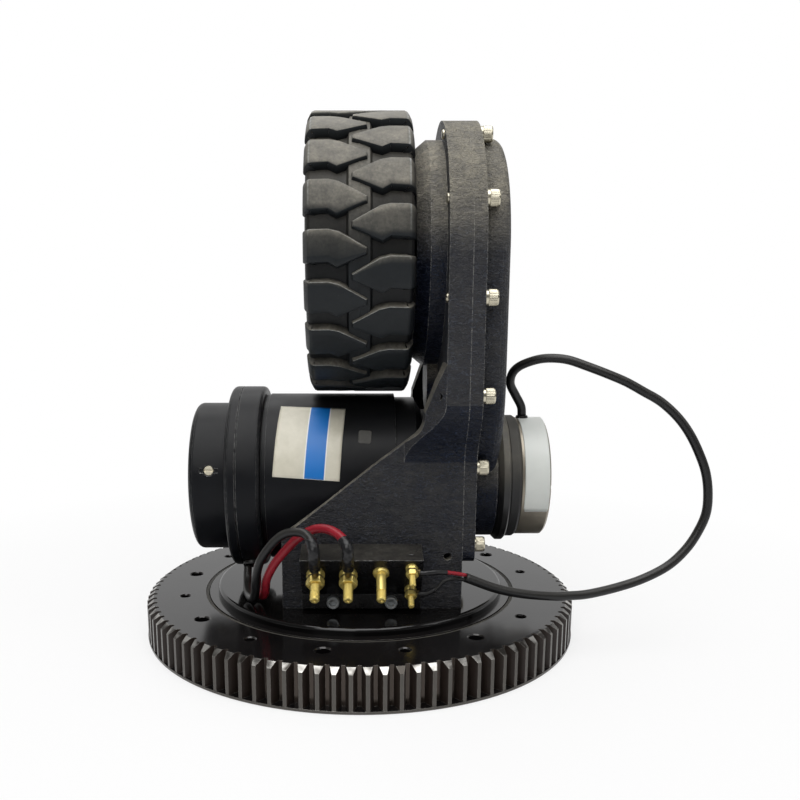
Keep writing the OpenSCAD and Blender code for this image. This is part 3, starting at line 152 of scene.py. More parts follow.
def circle(around):
    """Angles that divide a full turn evenly, in radians."""
    return np.linspace(0, 2 * np.pi, around, endpoint=False)


def about_x(x, r, angle, height):
    """Points at x, a radius and an angle from the top, round a line along X at a height."""
    return np.stack([x, -r * np.sin(angle), height + r * np.cos(angle)], -1)


def turned(rows, origin, axis, u, around, closed=False):
    """Points and quads of (height, radius) rows in millimetres, turned about an axis from the
    direction u. A height or a radius may have a value for each angle. In a closed profile the
    last row is joined to the first."""
    angle = circle(around)
    heights, radii = (np.stack([np.broadcast_to(row[k], around) for row in rows]) for k in (0, 1))
    points = (np.asarray(origin) + heights[..., None] * axis
              + (radii * np.cos(angle))[..., None] * u
              + (radii * np.sin(angle))[..., None] * np.cross(axis, u))
    return points.reshape(-1, 3) * MM, grid_faces(len(rows), around, closed, True)


# %% [markdown]
# ## Shader helpers and shared effects
#
# A finish is built from a few effects that come back on many pieces: the pebbled skin of a
# casting with a painted highlight on its ridges, the fine lines that a lathe leaves, edges that
# are rounded and rubbed, dust that lies on upward faces and also paints top light there, and
# smudges. Each could be copied into every material, but as a node group it is made once, and
# every material gives it its own sizes.

# %% Nodes and their values


def linear(*shade):
    """Colour as seen, in 0 to 255, turned into the linear colour that a shader takes."""
    c = np.array(shade) / 255
    c = np.where(c < 0.04045, c / 12.92, ((c + 0.055) / 1.055) ** 2.4)
    return (*c.tolist(), 1)


def feed(tree, sockets, values):
    """Gives each named socket its value, or a link from the output that feeds it."""
    for name, value in values.items():
        if isinstance(value, bpy.types.NodeSocket):
            tree.links.new(value, sockets[name])
        else:
            sockets[name].default_value = value


def add(tree, kind, inputs=None, **settings):
    """New shader node with its settings, and with values or links for its inputs."""
    node = tree.nodes.new("ShaderNode" + kind)
    for name, value in settings.items():
        setattr(node, name, value)
    feed(tree, node.inputs, inputs or {})
    return node


def maths(tree, operation, a, b=0, c=0, clamp=False):
    """Result of a Math node; only some operations take a third value."""
    return add(tree, "Math", {0: a, 1: b, 2: c}, operation=operation, use_clamp=clamp).outputs[0]


def span(tree, value, low, high, to_low=0, to_high=1):
    """The value's range low to high, brought to another range and held at its ends."""
    return add(tree, "MapRange", {"Value": value, "From Min": low, "From Max": high,
                                  "To Min": to_low, "To Max": to_high}).outputs[0]


def mixed(tree, mask, a, b):
    """Colour a where the mask is 0, b where it is 1."""
    return add(tree, "Mix", {0: mask, 6: a, 7: b}, data_type="RGBA").outputs[2]


def noise(tree, where, scale, detail=3, roughness=0.55):
    """Noise from 0 to 1; the scale counts spots per metre."""
    return add(tree, "TexNoise", {"Vector": where, "Scale": scale, "Detail": detail,
                                  "Roughness": roughness}).outputs[0]


# %% Places, directions and materials


def object_place(tree):
    """Place, normal, and the place's X, Y and Z, all fixed to the object."""
    where = add(tree, "TexCoord")
    parts = add(tree, "SeparateXYZ", {0: where.outputs["Object"]})
    return where.outputs["Object"], where.outputs["Normal"], parts.outputs


def away_from(tree, parts, axis, height=0):
    """Vector to the place from the Z axis, or from a line along X at a height."""
    if axis == "Z":
        sides = {0: parts[0], 1: parts[1]}
    else:
        sides = {1: parts[1], 2: maths(tree, "SUBTRACT", parts[2], height)}
    return add(tree, "CombineXYZ", sides).outputs[0]


def vectors(tree, operation, a, b=(0, 0, 0)):
    """Outputs of a vector operation: the vector is the first and a value the second."""
    return add(tree, "VectorMath", {0: a, 1: b}, operation=operation).outputs


def facing(tree, normal, away):
    """1 where a face looks straight along a vector, 0 where it stands square to it."""
    return vectors(tree, "DOT_PRODUCT", normal, vectors(tree, "NORMALIZE", away)[0])[1]


def times(tree, *values, clamp=False):
    """Product of two or more values."""
    product = values[0]
    for value in values[1:]:
        product = maths(tree, "MULTIPLY", product, value, clamp=clamp)
    return product


def new_material(name):
    """Material, its node tree and the inputs of its Principled shader."""
    material = bpy.data.materials.new(name)
    material.use_nodes = True
    return material, material.node_tree, material.node_tree.nodes["Principled BSDF"].inputs


# %% Node groups


def new_group(name, inputs, outputs):
    """Node group with number inputs and their defaults, and outputs of number or vector."""
    tree = bpy.data.node_groups.new(name, "ShaderNodeTree")
    for title, default in inputs.items():
        socket = tree.interface.new_socket(title, in_out="INPUT", socket_type="NodeSocketFloat")
        socket.default_value = default
    for title, kind in outputs.items():
        tree.interface.new_socket(title, in_out="OUTPUT", socket_type="NodeSocket" + kind)
    given = tree.nodes.new("NodeGroupInput").outputs
    result = tree.nodes.new("NodeGroupOutput").inputs
    return tree, given, result


def use(tree, group, values):
    """Outputs of a group that is placed in a material's tree with its own values."""
    return add(tree, "Group", values, node_tree=group).outputs


# %% Skin of castings and lathe lines


def cast_skin_group():
    """Wrinkled skin: fine ridges where a noise crosses its middle, over pebbles and slow waves.
    Stretch flattens them, and Crest highlight marks the tops of the ridges, here and there, for a
    painted highlight."""
    tree, given, result = new_group("cast skin", {"Cells": 900, "Stretch": 1},
                                    {"Height": "Float", "Crest highlight": "Float"})
    where, _, _ = object_place(tree)
    press = add(tree, "CombineXYZ", {0: 1, 1: 1, 2: given["Stretch"]}).outputs[0]
    pressed = vectors(tree, "MULTIPLY", where, press)[0]
    bend = add(tree, "TexNoise", {"Vector": pressed, "Scale": 420, "Detail": 2})
    shift = vectors(tree, "MULTIPLY", bend.outputs["Color"], (0.0016,) * 3)[0]
    bent = vectors(tree, "ADD", pressed, shift)[0]
    cells = add(tree, "TexVoronoi", {"Vector": bent, "Scale": given["Cells"]},
                feature="SMOOTH_F1").outputs["Distance"]
    slow = noise(tree, pressed, 160, 4)
    wander = noise(tree, bent, times(tree, given["Cells"], 0.36), 2, 0.5)
    off = maths(tree, "ABSOLUTE", maths(tree, "MULTIPLY_ADD", wander, 2, -1))
    ridge = span(tree, off, 0, 0.09, 1, 0)
    total = maths(tree, "MULTIPLY_ADD", cells, 0.5, slow)
    patches = span(tree, noise(tree, where, 35, 2), 0.35, 0.65, 0.35, 1)
    feed(tree, result, {"Height": maths(tree, "MULTIPLY_ADD", ridge, 0.45, total),
                        "Crest highlight": times(tree, ridge, patches)})
    return tree


def turned_group():
    """Lathe lines: noise along one distance only, so that a line runs all the way round."""
    tree, given, result = new_group("turned lines", {"Along": 0, "Lines": 2500},
                                    {"Height": "Float"})
    step = times(tree, given["Along"], given["Lines"])
    lines = add(tree, "TexNoise", {"W": step, "Scale": 1, "Detail": 3},
                noise_dimensions="1D").outputs[0]
    feed(tree, result, {"Height": lines})
    return tree


# %% Edges, dust and smudges


def edges_group():
    """Rounded normal near edges, and a rubbed mask where it departs from the face's own."""
    tree, given, result = new_group("edges", {"Round": 0.0003, "Rub": 0.0006, "Breaks": 300},
                                    {"Normal": "Vector", "Rubbed": "Float"})
    where, _, _ = object_place(tree)
    soft = add(tree, "Bevel", {"Radius": given["Round"]}, samples=4).outputs[0]
    wide = add(tree, "Bevel", {"Radius": given["Rub"]}, samples=4).outputs[0]
    own = add(tree, "NewGeometry").outputs["Normal"]
    apart = vectors(tree, "DISTANCE", wide, own)[1]
    broken = noise(tree, where, given["Breaks"], 4, 0.65)
    edge = times(tree, span(tree, apart, 0.1, 0.35), span(tree, broken, 0.36, 0.55))
    feed(tree, result, {"Normal": soft, "Rubbed": edge})
    return tree


def dust_group():
    """Dust and painted top light: strongest on faces that look up, and patchy."""
    tree, given, result = new_group("dust", {"Amount": 0.5, "Spots": 60}, {"Mask": "Float"})
    where, normal, _ = object_place(tree)
    up = add(tree, "SeparateXYZ", {0: normal}).outputs[2]
    level = maths(tree, "POWER", span(tree, up, -0.1, 0.42), 1.2)
    patchy = span(tree, noise(tree, where, given["Spots"], 6, 0.65), 0.3, 0.7, 0.45, 1)
    feed(tree, result, {"Mask": times(tree, level, patchy, given["Amount"], clamp=True)})
    return tree


def smudge_group():
    """Slow variation from handling, from 0 to 1, for roughness and tone."""
    tree, given, result = new_group("smudges", {"Spots": 40}, {"Value": "Float"})
    where, _, _ = object_place(tree)
    slow = noise(tree, where, given["Spots"], 5, 0.6)
    feed(tree, result, {"Value": span(tree, slow, 0.3, 0.7)})
    return tree


CAST_SKIN, TURNED, EDGES = cast_skin_group(), turned_group(), edges_group()
DUST_AND_TOP_LIGHT, SMUDGES = dust_group(), smudge_group()
print("node groups:", [g.name for g in bpy.data.node_groups])

# %% [markdown]
# ## Finishes
#
# Nearly every piece is metal, paint or plastic that differs in colour, gloss, tool marks, wear
# and dust, and the dust also paints top light on upward faces. One function builds such a finish
# from the groups, and a table gives each material slot of the record its own values. The shader
# itself stays in the material. Only the toothed ring, the tyre and the labels need more than
# this, and get functions of their own.

# %% One function for plain finishes
# Pale shade of dust, which also paints top light on upward faces.
DUST_AND_TOP_LIGHT_SHADE = linear(146, 141, 128)


def finish(name, shade, rough=(0.3, 0.45), metal=0, tone=0.25, skin=None, stretch=1,
           crest_highlight=None, lines=None, rubbed=None, dust=0, rounding=0.25, specular=0.5):
    """Principled material. A shade is a colour as seen; tone is how much darker smudges are. skin
    is (cells per metre, depth in mm), stretch flattens it, and crest_highlight is the lighter
    shade of its ridges, a painted highlight. lines is (axis, lines per metre, depth in mm) for
    rings along X or Z, and rubbed is (shade, width in mm) of edges rubbed bare."""
    shade = linear(*shade)
    material, tree, shader = new_material(name)
    _, _, parts = object_place(tree)
    smudge = use(tree, SMUDGES, {"Spots": 45})["Value"]
    darker = tuple(c * (1 - tone) for c in shade[:3]) + (1,)
    colour = mixed(tree, smudge, darker, shade)
    edge = use(tree, EDGES, {"Round": rounding * MM, "Rub": (rubbed or (0, rounding))[1] * MM})
    metallic = metal
    if rubbed:
        colour = mixed(tree, edge["Rubbed"], colour, linear(*rubbed[0]))
        metallic = maths(tree, "MAXIMUM", edge["Rubbed"], metal)
    roughness = span(tree, smudge, 0, 1, *rough)
    grain = use(tree, CAST_SKIN, {"Cells": skin[0], "Stretch": stretch}) if skin else None
    # Painted highlight: the tops of the skin's ridges take a lighter shade.
    if crest_highlight:
        colour = mixed(tree, grain["Crest highlight"], colour, linear(*crest_highlight))
    # Dust and painted top light: upward faces take the pale dust shade, the skin's raised places
    # most.
    if dust:
        dust_and_top_light_mask = use(tree, DUST_AND_TOP_LIGHT, {"Amount": dust})["Mask"]
        if crest_highlight:
            raised = span(tree, grain["Height"], 0.55, 1.15, 0.6, 1.4)
            dust_and_top_light_mask = times(tree, dust_and_top_light_mask, raised, clamp=True)
        colour = mixed(tree, dust_and_top_light_mask, colour, DUST_AND_TOP_LIGHT_SHADE)
        roughness = maths(tree, "MULTIPLY_ADD", dust_and_top_light_mask, 0.5, roughness)
    relief = [(grain["Height"], skin[1])] if skin else []
    if lines:
        axis, count, depth = lines
        marks = use(tree, TURNED, {"Along": parts["XYZ".index(axis)], "Lines": count})["Height"]
        relief.append((marks, depth))
    normal = edge["Normal"]
    for height, depth in relief:
        normal = add(tree, "Bump", {"Height": height, "Distance": depth * MM,
                                    "Normal": normal}).outputs[0]
    feed(tree, shader, {"Base Color": colour, "Roughness": roughness, "Normal": normal,
                        "Metallic": metallic, "Specular IOR Level": specular})
    return material


# %% Finishes that a table can hold
STEEL = (172, 168, 160)
WORN_CAST = (172, 171, 167)
# The dust values also paint top light on upward faces, and the crests values paint a highlight on
# ridge tops.
FINISHES = {
    "seal_rubber": dict(shade=(30, 30, 31), rough=(0.5, 0.65), dust=0.25),
    "bearing_steel": dict(
        shade=(200, 200, 204), rough=(0.15, 0.3), metal=1, lines=("X", 4000, 0.01)),
    "spacer_plastic": dict(shade=(222, 218, 205), rough=(0.4, 0.5), tone=0.08),
    "disc_steel": dict(
        shade=(11, 10, 11), rough=(0.05, 0.11), dust=0.012, rounding=0.4, specular=0.4),
    "screw_black": dict(
        shade=(168, 172, 174), rough=(0.28, 0.4), metal=0.45, rubbed=(STEEL, 0.3)),
    "casting_black": dict(
        shade=(9, 16, 32), rough=(0.34, 0.48), tone=0.35, skin=(620, 1), stretch=2.2,
        crest_highlight=(36, 47, 68), rubbed=(WORN_CAST, 0.5), dust=0.95, rounding=0.5, specular=0.28),
    "screw_zinc": dict(shade=(214, 207, 186), rough=(0.2, 0.36), metal=1, tone=0.3, rounding=0.2),
    "terminal_black": dict(
        shade=(15, 15, 18), rough=(0.2, 0.34), dust=0.16, skin=(700, 0.03), crest_highlight=(40, 40, 42),
        rubbed=((165, 165, 165), 0.45), rounding=0.4, specular=0.35),
    "brass": dict(shade=(250, 226, 134), rough=(0.2, 0.32), metal=0.6, tone=0.15, rounding=0.2),
    "tinned": dict(shade=(128, 112, 78), metal=0.9, tone=0.4, rounding=0.2),
    "sleeve_black": dict(
        shade=(27, 27, 29), rough=(0.24, 0.4), tone=0.3, skin=(900, 0.03), specular=0.4),
    "motor_black": dict(
        shade=(15, 17, 22), rough=(0.3, 0.42), dust=0.03, lines=("X", 900, 0.012),
        rubbed=((150, 150, 148), 0.45), rounding=0.4, specular=0.16),
    "magnet_dark": dict(shade=(70, 70, 74), rough=(0.4, 0.55), metal=0.5, skin=(1500, 0.04)),
    "phenolic": dict(shade=(110, 66, 38), rough=(0.4, 0.55), skin=(800, 0.03), stretch=4),
    "carbon": dict(shade=(40, 40, 42), rough=(0.45, 0.6), skin=(2500, 0.03)),
    "copper": dict(
        shade=(200, 120, 80), rough=(0.2, 0.35), metal=1, tone=0.4, lines=("X", 1500, 0.03)),
    "gear_steel": dict(
        shade=(168, 168, 172), rough=(0.2, 0.35), metal=1, lines=("X", 2500, 0.01)),
    "rim_paint": dict(
        shade=(52, 52, 54), rough=(0.4, 0.55), skin=(700, 0.1), rubbed=(WORN_CAST, 0.5),
        dust=0.3),
    "brake_black": dict(
        shade=(26, 26, 27), rough=(0.32, 0.45), dust=0.6, lines=("X", 1500, 0.02), rounding=0.4),
    "brake_steel": dict(
        shade=(150, 143, 130), rough=(0.3, 0.44), metal=0.85, lines=("X", 1800, 0.02),
        rounding=0.4),
    "friction": dict(shade=(120, 112, 98), rough=(0.6, 0.8), skin=(1800, 0.08)),
    "cable_black": dict(
        shade=(20, 20, 22), rough=(0.28, 0.42), dust=0.07, skin=(1200, 0.02), specular=0.4),
    "lead_red": dict(shade=(158, 30, 45), skin=(1200, 0.02), specular=0.4),
}
materials = {slot: finish(slot, **values) for slot, values in FINISHES.items()}

# %% [markdown]
# The toothed ring is one turned and hobbed piece with several surfaces: a glossy blackened
# top, bright chamfers on the teeth, grey tips and roots, and rough brown flanks. It is one
# mesh, so its material tells these apart by the radius and by where the face looks.

# %% Surfaces of the toothed ring
TIP_R, ROOT_R = 0.1500, 0.14325
RING = {"shade": (10, 9, 11), "smudged": (18, 16, 17), "flank": (36, 27, 22),
        "root": (66, 57, 50), "tip": (82, 79, 75), "dull chamfer": (58, 55, 52),
        "bright chamfer": (166, 164, 160), "rim": (150, 146, 140)}


def ring_masks(tree, normal, parts, radius):
    """Chamfers of the teeth, their tips, roots and flanks, and all that lies beyond the roots.
    The roots look outwards as the tips do, but nearer the axis; the flanks look sideways."""
    up = add(tree, "SeparateXYZ", {0: normal}).outputs[2]
    out = facing(tree, normal, away_from(tree, parts, "Z"))
    beyond = span(tree, radius, ROOT_R - 0.0012, ROOT_R - 0.0008)
    top = span(tree, up, 0.96, 0.985)
    sloped = maths(tree, "SUBTRACT", times(tree, span(tree, up, 0.35, 0.5), beyond), top,
                   clamp=True)
    outer = times(tree, span(tree, out, 0.93, 0.97), beyond)
    tip = times(tree, outer, span(tree, radius, TIP_R - 0.0012, TIP_R - 0.0008))
    root = maths(tree, "SUBTRACT", outer, tip, clamp=True)
    flank = times(tree, span(tree, out, 0.7, 0.9, 1, 0), beyond, span(tree, up, 0.2, 0.4, 1, 0))
    return sloped, tip, root, flank, beyond


# %% The ring's material


def ring_finish():
    """The masks pick one of five colours and roughnesses, and where the steel is bare."""
    material, tree, shader = new_material("ring_steel")
    where, normal, parts = object_place(tree)
    radius = vectors(tree, "LENGTH", away_from(tree, parts, "Z"))[1]
    sloped, tip, root, flank, beyond = ring_masks(tree, normal, parts, radius)
    smudge = use(tree, SMUDGES, {"Spots": 30})["Value"]
    uneven = span(tree, noise(tree, where, 95, 2), 0.4, 0.6)
    shades = {name: linear(*shade) for name, shade in RING.items()}
    chamfer = mixed(tree, uneven, shades["dull chamfer"], shades["bright chamfer"])
    edge = use(tree, EDGES, {"Round": 0.25 * MM, "Rub": 0.35 * MM, "Breaks": 500})
    rim = times(tree, edge["Rubbed"], 0.6)
    colour = mixed(tree, smudge, shades["shade"], shades["smudged"])
    for mask, shade in ((flank, shades["flank"]), (root, shades["root"]), (tip, shades["tip"]),
                        (sloped, chamfer), (rim, shades["rim"])):
        colour = mixed(tree, mask, colour, shade)
    # Dust and painted top light on upward faces, very faint on the ring.
    dust_and_top_light_mask = use(tree, DUST_AND_TOP_LIGHT, {"Amount": 0.012, "Spots": 25})["Mask"]
    colour = mixed(tree, dust_and_top_light_mask, colour, DUST_AND_TOP_LIGHT_SHADE)
    bare = maths(tree, "MULTIPLY_ADD", tip, 0.6, sloped, clamp=True)
    bare = maths(tree, "MULTIPLY_ADD", root, 0.5, bare, clamp=True)
    bare = maths(tree, "MAXIMUM", bare, rim)
    roughness = span(tree, smudge, 0, 1, 0.12, 0.22)
    for mask, rough in ((bare, 0.23), (flank, 0.5)):
        roughness = maths(tree, "MAXIMUM", roughness, times(tree, mask, rough))
    cutter = use(tree, TURNED, {"Along": parts[2], "Lines": 1600})["Height"]
    lathe = use(tree, TURNED, {"Along": radius, "Lines": 1200})["Height"]
    relief = times(tree, noise(tree, where, 900, 4, 0.7), 0.1)
    relief = maths(tree, "MULTIPLY_ADD", lathe, 0.12, relief)
    relief = maths(tree, "MULTIPLY_ADD", times(tree, cutter, beyond), 0.8, relief)
    bump = add(tree, "Bump", {"Height": relief, "Distance": 0.03 * MM,
                              "Normal": edge["Normal"]}).outputs[0]
    feed(tree, shader, {"Base Color": colour, "Roughness": roughness, "Metallic": bare,
                        "Normal": bump})
    return material


materials["ring_steel"] = ring_finish()

# %% [markdown]
# Rubber is never one black. The grooves are darker than the lugs, dust and painted top light make
# the upward faces brown-grey, fine scuffs roughen the lugs, and a painted highlight lies along
# their upper edges. The tyre's material mixes these by height above the groove floor and by where
# a face looks.

# %% The tyre's finish
WHEEL_Z, TYRE_R, GROOVE_R = 0.257, 0.090, 0.0845
RUBBER = {"groove": (11, 13, 15), "lug": (22, 26, 29), "smudged": (30, 34, 37),
          "dust": (158, 152, 138), "painted_edge_highlight": (168, 170, 168)}


def tyre_finish():
    """Darker grooves and scuffed lug tops. Dust and painted top light where the rubber looks up,
    and a painted highlight: a thin bright line along the upper edge of each lug, where a rounded
    edge departs from the crown."""
    material, tree, shader = new_material("tyre_rubber")
    where, normal, parts = object_place(tree)
    away = away_from(tree, parts, "X", WHEEL_Z)
    radius = vectors(tree, "LENGTH", away)[1]
    raised = span(tree, radius, GROOVE_R, TYRE_R - 0.001)
    scuffs = noise(tree, where, 500, 6, 0.7)
    smudge = use(tree, SMUDGES, {"Spots": 50})["Value"]
    shades = {name: linear(*shade) for name, shade in RUBBER.items()}
    colour = mixed(tree, raised, shades["groove"], shades["lug"])
    colour = mixed(tree, times(tree, smudge, raised), colour, shades["smudged"])
    # Dust and painted top light: upward faces lighter, less so in the grooves.
    dust_and_top_light_mask = use(tree, DUST_AND_TOP_LIGHT, {"Amount": 0.58, "Spots": 90})["Mask"]
    dust_and_top_light_mask = times(tree, dust_and_top_light_mask, span(tree, raised, 0, 1, 0.3, 1))
    dust_and_top_light_mask = times(tree, dust_and_top_light_mask, span(tree, scuffs, 0.35, 0.65, 0.75, 1.25), clamp=True)
    colour = mixed(tree, dust_and_top_light_mask, colour, shades["dust"])
    up = add(tree, "SeparateXYZ", {0: normal}).outputs[2]
    # Painted highlight: a light line on the rounded upper edges of the lugs that look up.
    painted_edge_highlight = times(tree, span(tree, facing(tree, normal, away), 0.94, 0.8),
                 span(tree, up, 0.05, 0.4), span(tree, radius, TYRE_R - 0.0008, TYRE_R - 0.0005),
                 span(tree, scuffs, 0.4, 0.6, 0.35, 0.95))
    colour = mixed(tree, painted_edge_highlight, colour, shades["painted_edge_highlight"])
    grain = maths(tree, "MULTIPLY_ADD", scuffs, 0.6,
                  times(tree, noise(tree, where, 2400, 2), 0.4))
    bump = add(tree, "Bump", {"Height": grain, "Distance": 0.09 * MM}).outputs[0]
    feed(tree, shader, {"Base Color": colour, "Normal": bump, "Specular IOR Level": 0.26,
                        "Roughness": span(tree, scuffs, 0.3, 0.7, 0.4, 0.56)})
    return material


materials["tyre_rubber"] = tyre_finish()

# %% [markdown]
# The record says which finish each CAD node has, so one loop dresses them all. The pieces
# that are made anew further on take their finishes from the same table.

# %% Finishes onto the CAD nodes
slot_of = {part["node"]: part["material_slot"] for part in frame["record"]["subparts"]}


def dress(piece, material):
    """The material becomes the piece's only one."""
    piece.data.materials.clear()
    piece.data.materials.append(material)
    return piece


def place(piece, body, slot, *replaced):
    """The piece rides on its body, has its slot's finish unless it is dressed, and
    stands for CAD nodes."""
    if not piece.data.materials:
        dress(piece, materials[slot])
    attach(piece, body)
    if replaced:
        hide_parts(*replaced)
    print(piece.name, "has", len(piece.data.polygons), "faces")
    return piece


for name, node in nodes.items():
    dress(node, materials[slot_of[name]])
print("dressed", len(nodes), "nodes with", len(materials), "finishes")

# %% [markdown]
# ## The tyre
#
# The tyre is a solid rubber one: a smooth carcass with two rows of arrow-shaped lugs that
# interlock along the middle. Cutting grooves out of a solid leaves hard knife edges. Real lugs
# come out of a mould with drafted walls and a small round edge that catches the light, so each
# lug is made as a pad: its outline lies on the tyre's section, and one small profile of foot,
# wall and rounded edge is carried round it.

# %% The tyre's section
HALF_CROWN, HALF_W, SECTION_FOOT, SMOOTHED = 29.5, 33, 74.5, 0.6
LUG_COUNT, LUG_PHASE = 19, math.radians(13.4)


def section(s):
    """Place and outward normal at a distance s along the section from the middle, in mm.
    The crown is flat, a short round turns it down, and the shoulder slopes to the side."""
    r = TYRE_R / MM
    corners = np.array([[0, r], [HALF_CROWN - 1.2, r], [HALF_CROWN + 0.3, r - 0.5],
                        [HALF_CROWN + 1.4, r - 2], [HALF_W - 0.6, r - 4.8], [HALF_W, r - 8],
                        [HALF_W, SECTION_FOOT]])
    run = np.r_[0, np.cumsum(np.linalg.norm(np.diff(corners, axis=0), axis=1))]
    side = np.where(s < 0, -1, 1)

    def at(distance):
        """Place on the section at a distance along it."""
        return np.array([np.interp(distance, run, corners[:, k]) for k in (0, 1)])

    x, y = at(abs(s))
    dx, dy = at(abs(s) + SMOOTHED) - at(abs(s) - SMOOTHED)
    long = np.hypot(dx, dy) + 1e-9
    return side * x, y, -side * dy / long, dx / long


def on_tyre(s, t, depth):
    """Points in metres for a place s across, t round at the crown, and a depth below it."""
    x, r, nx, nr = section(s)
    x, r = x - nx * depth, r - nr * depth
    return about_x(x, r, t / (TYRE_R / MM), WHEEL_Z / MM) * MM


# %% Lugs
# Edges are (place across, place round), and the wall is (distance outwards, depth), in mm.
UPPER_EDGE = [(-4.2, 3.7), (13.2, 11.4), (18.2, 8.4), (40, 9.9)]
LOWER_EDGE = [(-4.2, 0.4), (6.2, -5.6), (12, -8.8), (18, -10.2), (40, -9.6)]
ROUND_BREAKS = [28.3, 30, 32, 34.5, 37]
WALL = [(1.3, 6.2), (0.25, 1.5), (0, 0.8), (-0.28, 0.26), (-0.85, 0)]


def offset_outline(outline, distance):
    """Closed outline moved outwards by a distance, with mitred corners."""
    ahead = np.roll(outline, -1, 0) - outline
    ahead /= np.linalg.norm(ahead, axis=1, keepdims=True)
    out = np.stack([ahead[:, 1], -ahead[:, 0]], -1)
    before = np.roll(out, 1, 0)
    mitre = out + before
    mitre /= np.maximum(0.45, (1 + (out * before).sum(1)))[:, None]
    return outline + mitre * distance


def lug(side, turn, rows=20, columns=6):
    """Points and quads of one lug: a ruled pad between its two edges, then its wall's rings."""
    breaks = [e[0] for e in UPPER_EDGE + LOWER_EDGE] + ROUND_BREAKS
    s = np.unique(np.r_[np.linspace(breaks[0], max(breaks), rows), breaks])
    n = len(s)
    lower = np.interp(s, *np.array(LOWER_EDGE).T)
    upper = np.interp(s, *np.array(UPPER_EDGE).T)
    outline = np.r_[np.stack([s, lower], -1), np.stack([s, upper], -1)[::-1]]
    share = np.linspace(0, 1, columns)[:, None]

    def loop(distance):
        """The outline at a distance, with the two short ends divided like the pad's columns."""
        edge = offset_outline(outline, distance)
        low, high = edge[:n], edge[n:][::-1]
        far = low[-1] + (high[-1] - low[-1]) * share[1:-1]
        near = high[0] + (low[0] - high[0]) * share[1:-1]
        return low, high, np.r_[low, far, high[::-1], near]

    low, high, rim = loop(WALL[-1][0])
    pad = low[:, None] + (high - low)[:, None] * share[None]
    count = len(rim)
    rings = [loop(grow)[2] for grow, _ in WALL[:-1]]
    depths = [np.full(count, d) for _, d in WALL[:-1]]
    flat = np.vstack([pad.reshape(-1, 2), *rings])
    depth = np.r_[np.zeros(n * columns), *depths]
    points = on_tyre(side * flat[:, 0], flat[:, 1] + turn * TYRE_R / MM, depth)
    i, j = np.arange(n), np.arange(columns)
    border = np.r_[i * columns, (n - 1) * columns + j[1:-1],
                   (i * columns + columns - 1)[::-1], j[1:-1][::-1]]
    index = [n * columns + k * count + np.arange(count) for k in range(len(rings))] + [border]
    quads = [grid_faces(n, columns)]
    for outer, inner in zip(index, index[1:]):
        quads.append(np.stack([outer, np.roll(outer, -1), np.roll(inner, -1), inner], -1))
    quads = np.vstack(quads)
    return points, quads if side < 0 else quads[:, ::-1]


# %% Carcass and the whole tyre
# (Place across, radius) of half the carcass, from the rim's seat out to the middle.
CARCASS = [(28.9, 66.05), (31.3, 70), (31.9, 74), (32, 78.5), (31.2, 82.2), (29.6, 84.1),
           (28, 84.5), (7.6, 84.5), (6.2, 87.3), (0.45, 87.6), (0.3, 87.75), (0, 87.8)]


def carcass(around=304):
    """The section below the lugs, turned round the axle and closed over the rim's seat."""
    half = np.array(CARCASS)
    line = np.vstack([half * [-1, 1], half[::-1][1:], [[0, 66.05]]])
    return turned(line, (0, 0, WHEEL_Z / MM), ACROSS, UP, around, closed=True)


def make_tyre():
    """Carcass and both rows of lugs in one mesh; the right row is half a pitch behind."""
    pitch = 2 * math.pi / LUG_COUNT
    lugs = [lug(side, LUG_PHASE + (i - (side + 1) / 4) * pitch)
            for side in (-1, 1) for i in range(LUG_COUNT)]
    tyre = put_mesh("tyre_tread", *joined([carcass(), *lugs]))
    tyre.data.set_sharp_from_angle(angle=math.radians(38))
    place(tyre, "wheel", "tyre_rubber", "tyre")


make_tyre()

# %% [markdown]
# ## Studs with threads
#
# The brass studs show their threads at the free ends. A thread is a helix: on a turned rod the
# radius dips once per pitch, and the dip moves along by one pitch for each turn. So a stud is
# a grid over angle and length whose radius follows both. The CAD studs are plain rods.

# %% Places on the terminal block's leaning face
FACE_TOP = np.array([0, -90, 72])
FACE_OUT = np.array([0, -0.82530726, -0.56468392])
FACE_DOWN = np.array([0, 0.56468392, -0.82530726])
POWER_X, SIGNAL_X = (-27.3, -7, 13.3), 32.3
POWER_DOWN, SIGNAL_DOWN = 11.5, (6, 27.5)


def face_point(x, down):
    """Point in millimetres at x and a distance down the leaning face."""
    return FACE_TOP + np.array([x, 0, 0]) + FACE_DOWN * down


def put_turned(name, parts, slot, node):
    """Turned parts as one closed mesh on the drive unit, which stands for a CAD node."""
    piece = weld(put_mesh(name, *joined(parts)))
    piece.data.set_sharp_from_angle(angle=math.radians(35))
    place(piece, "drive_unit", slot, node)


def thread_rows(r, start, length, pitch, around, steps=6):
    """Rows of a threaded rod: a 60 degree groove that winds once per pitch, then a bevel."""
    angle = np.arange(around) / around
    rows = [(start, 0), (start, r)]
    for h in np.arange(start + 0.3, length - 0.6, pitch / steps):
        wave = np.abs(((h / pitch - angle) % 1) * 2 - 1)
        fade = min(1, (h - start) / pitch, (length - 0.4 - h) / pitch)
        rows.append((h, r - 0.54 * pitch * np.clip(1.15 * wave - 0.1, 0, 1) * max(fade, 0)))
    bevel = r - 0.45 * pitch
    return rows + [(length - 0.5, bevel + 0.15), (length, bevel - 0.3), (length, bevel * 0.45),
                   (length - 0.9, bevel * 0.25), (length - 1.1, 0)]


# %% The studs
POWER = dict(r=3, length=22, pitch=1, around=32)
SIGNAL = dict(r=2, length=15, pitch=0.7, around=28)
SUNK, SPARE_THREAD = 0.5, 7
COLLAR_R, COLLAR_T = 5.2, 2.5


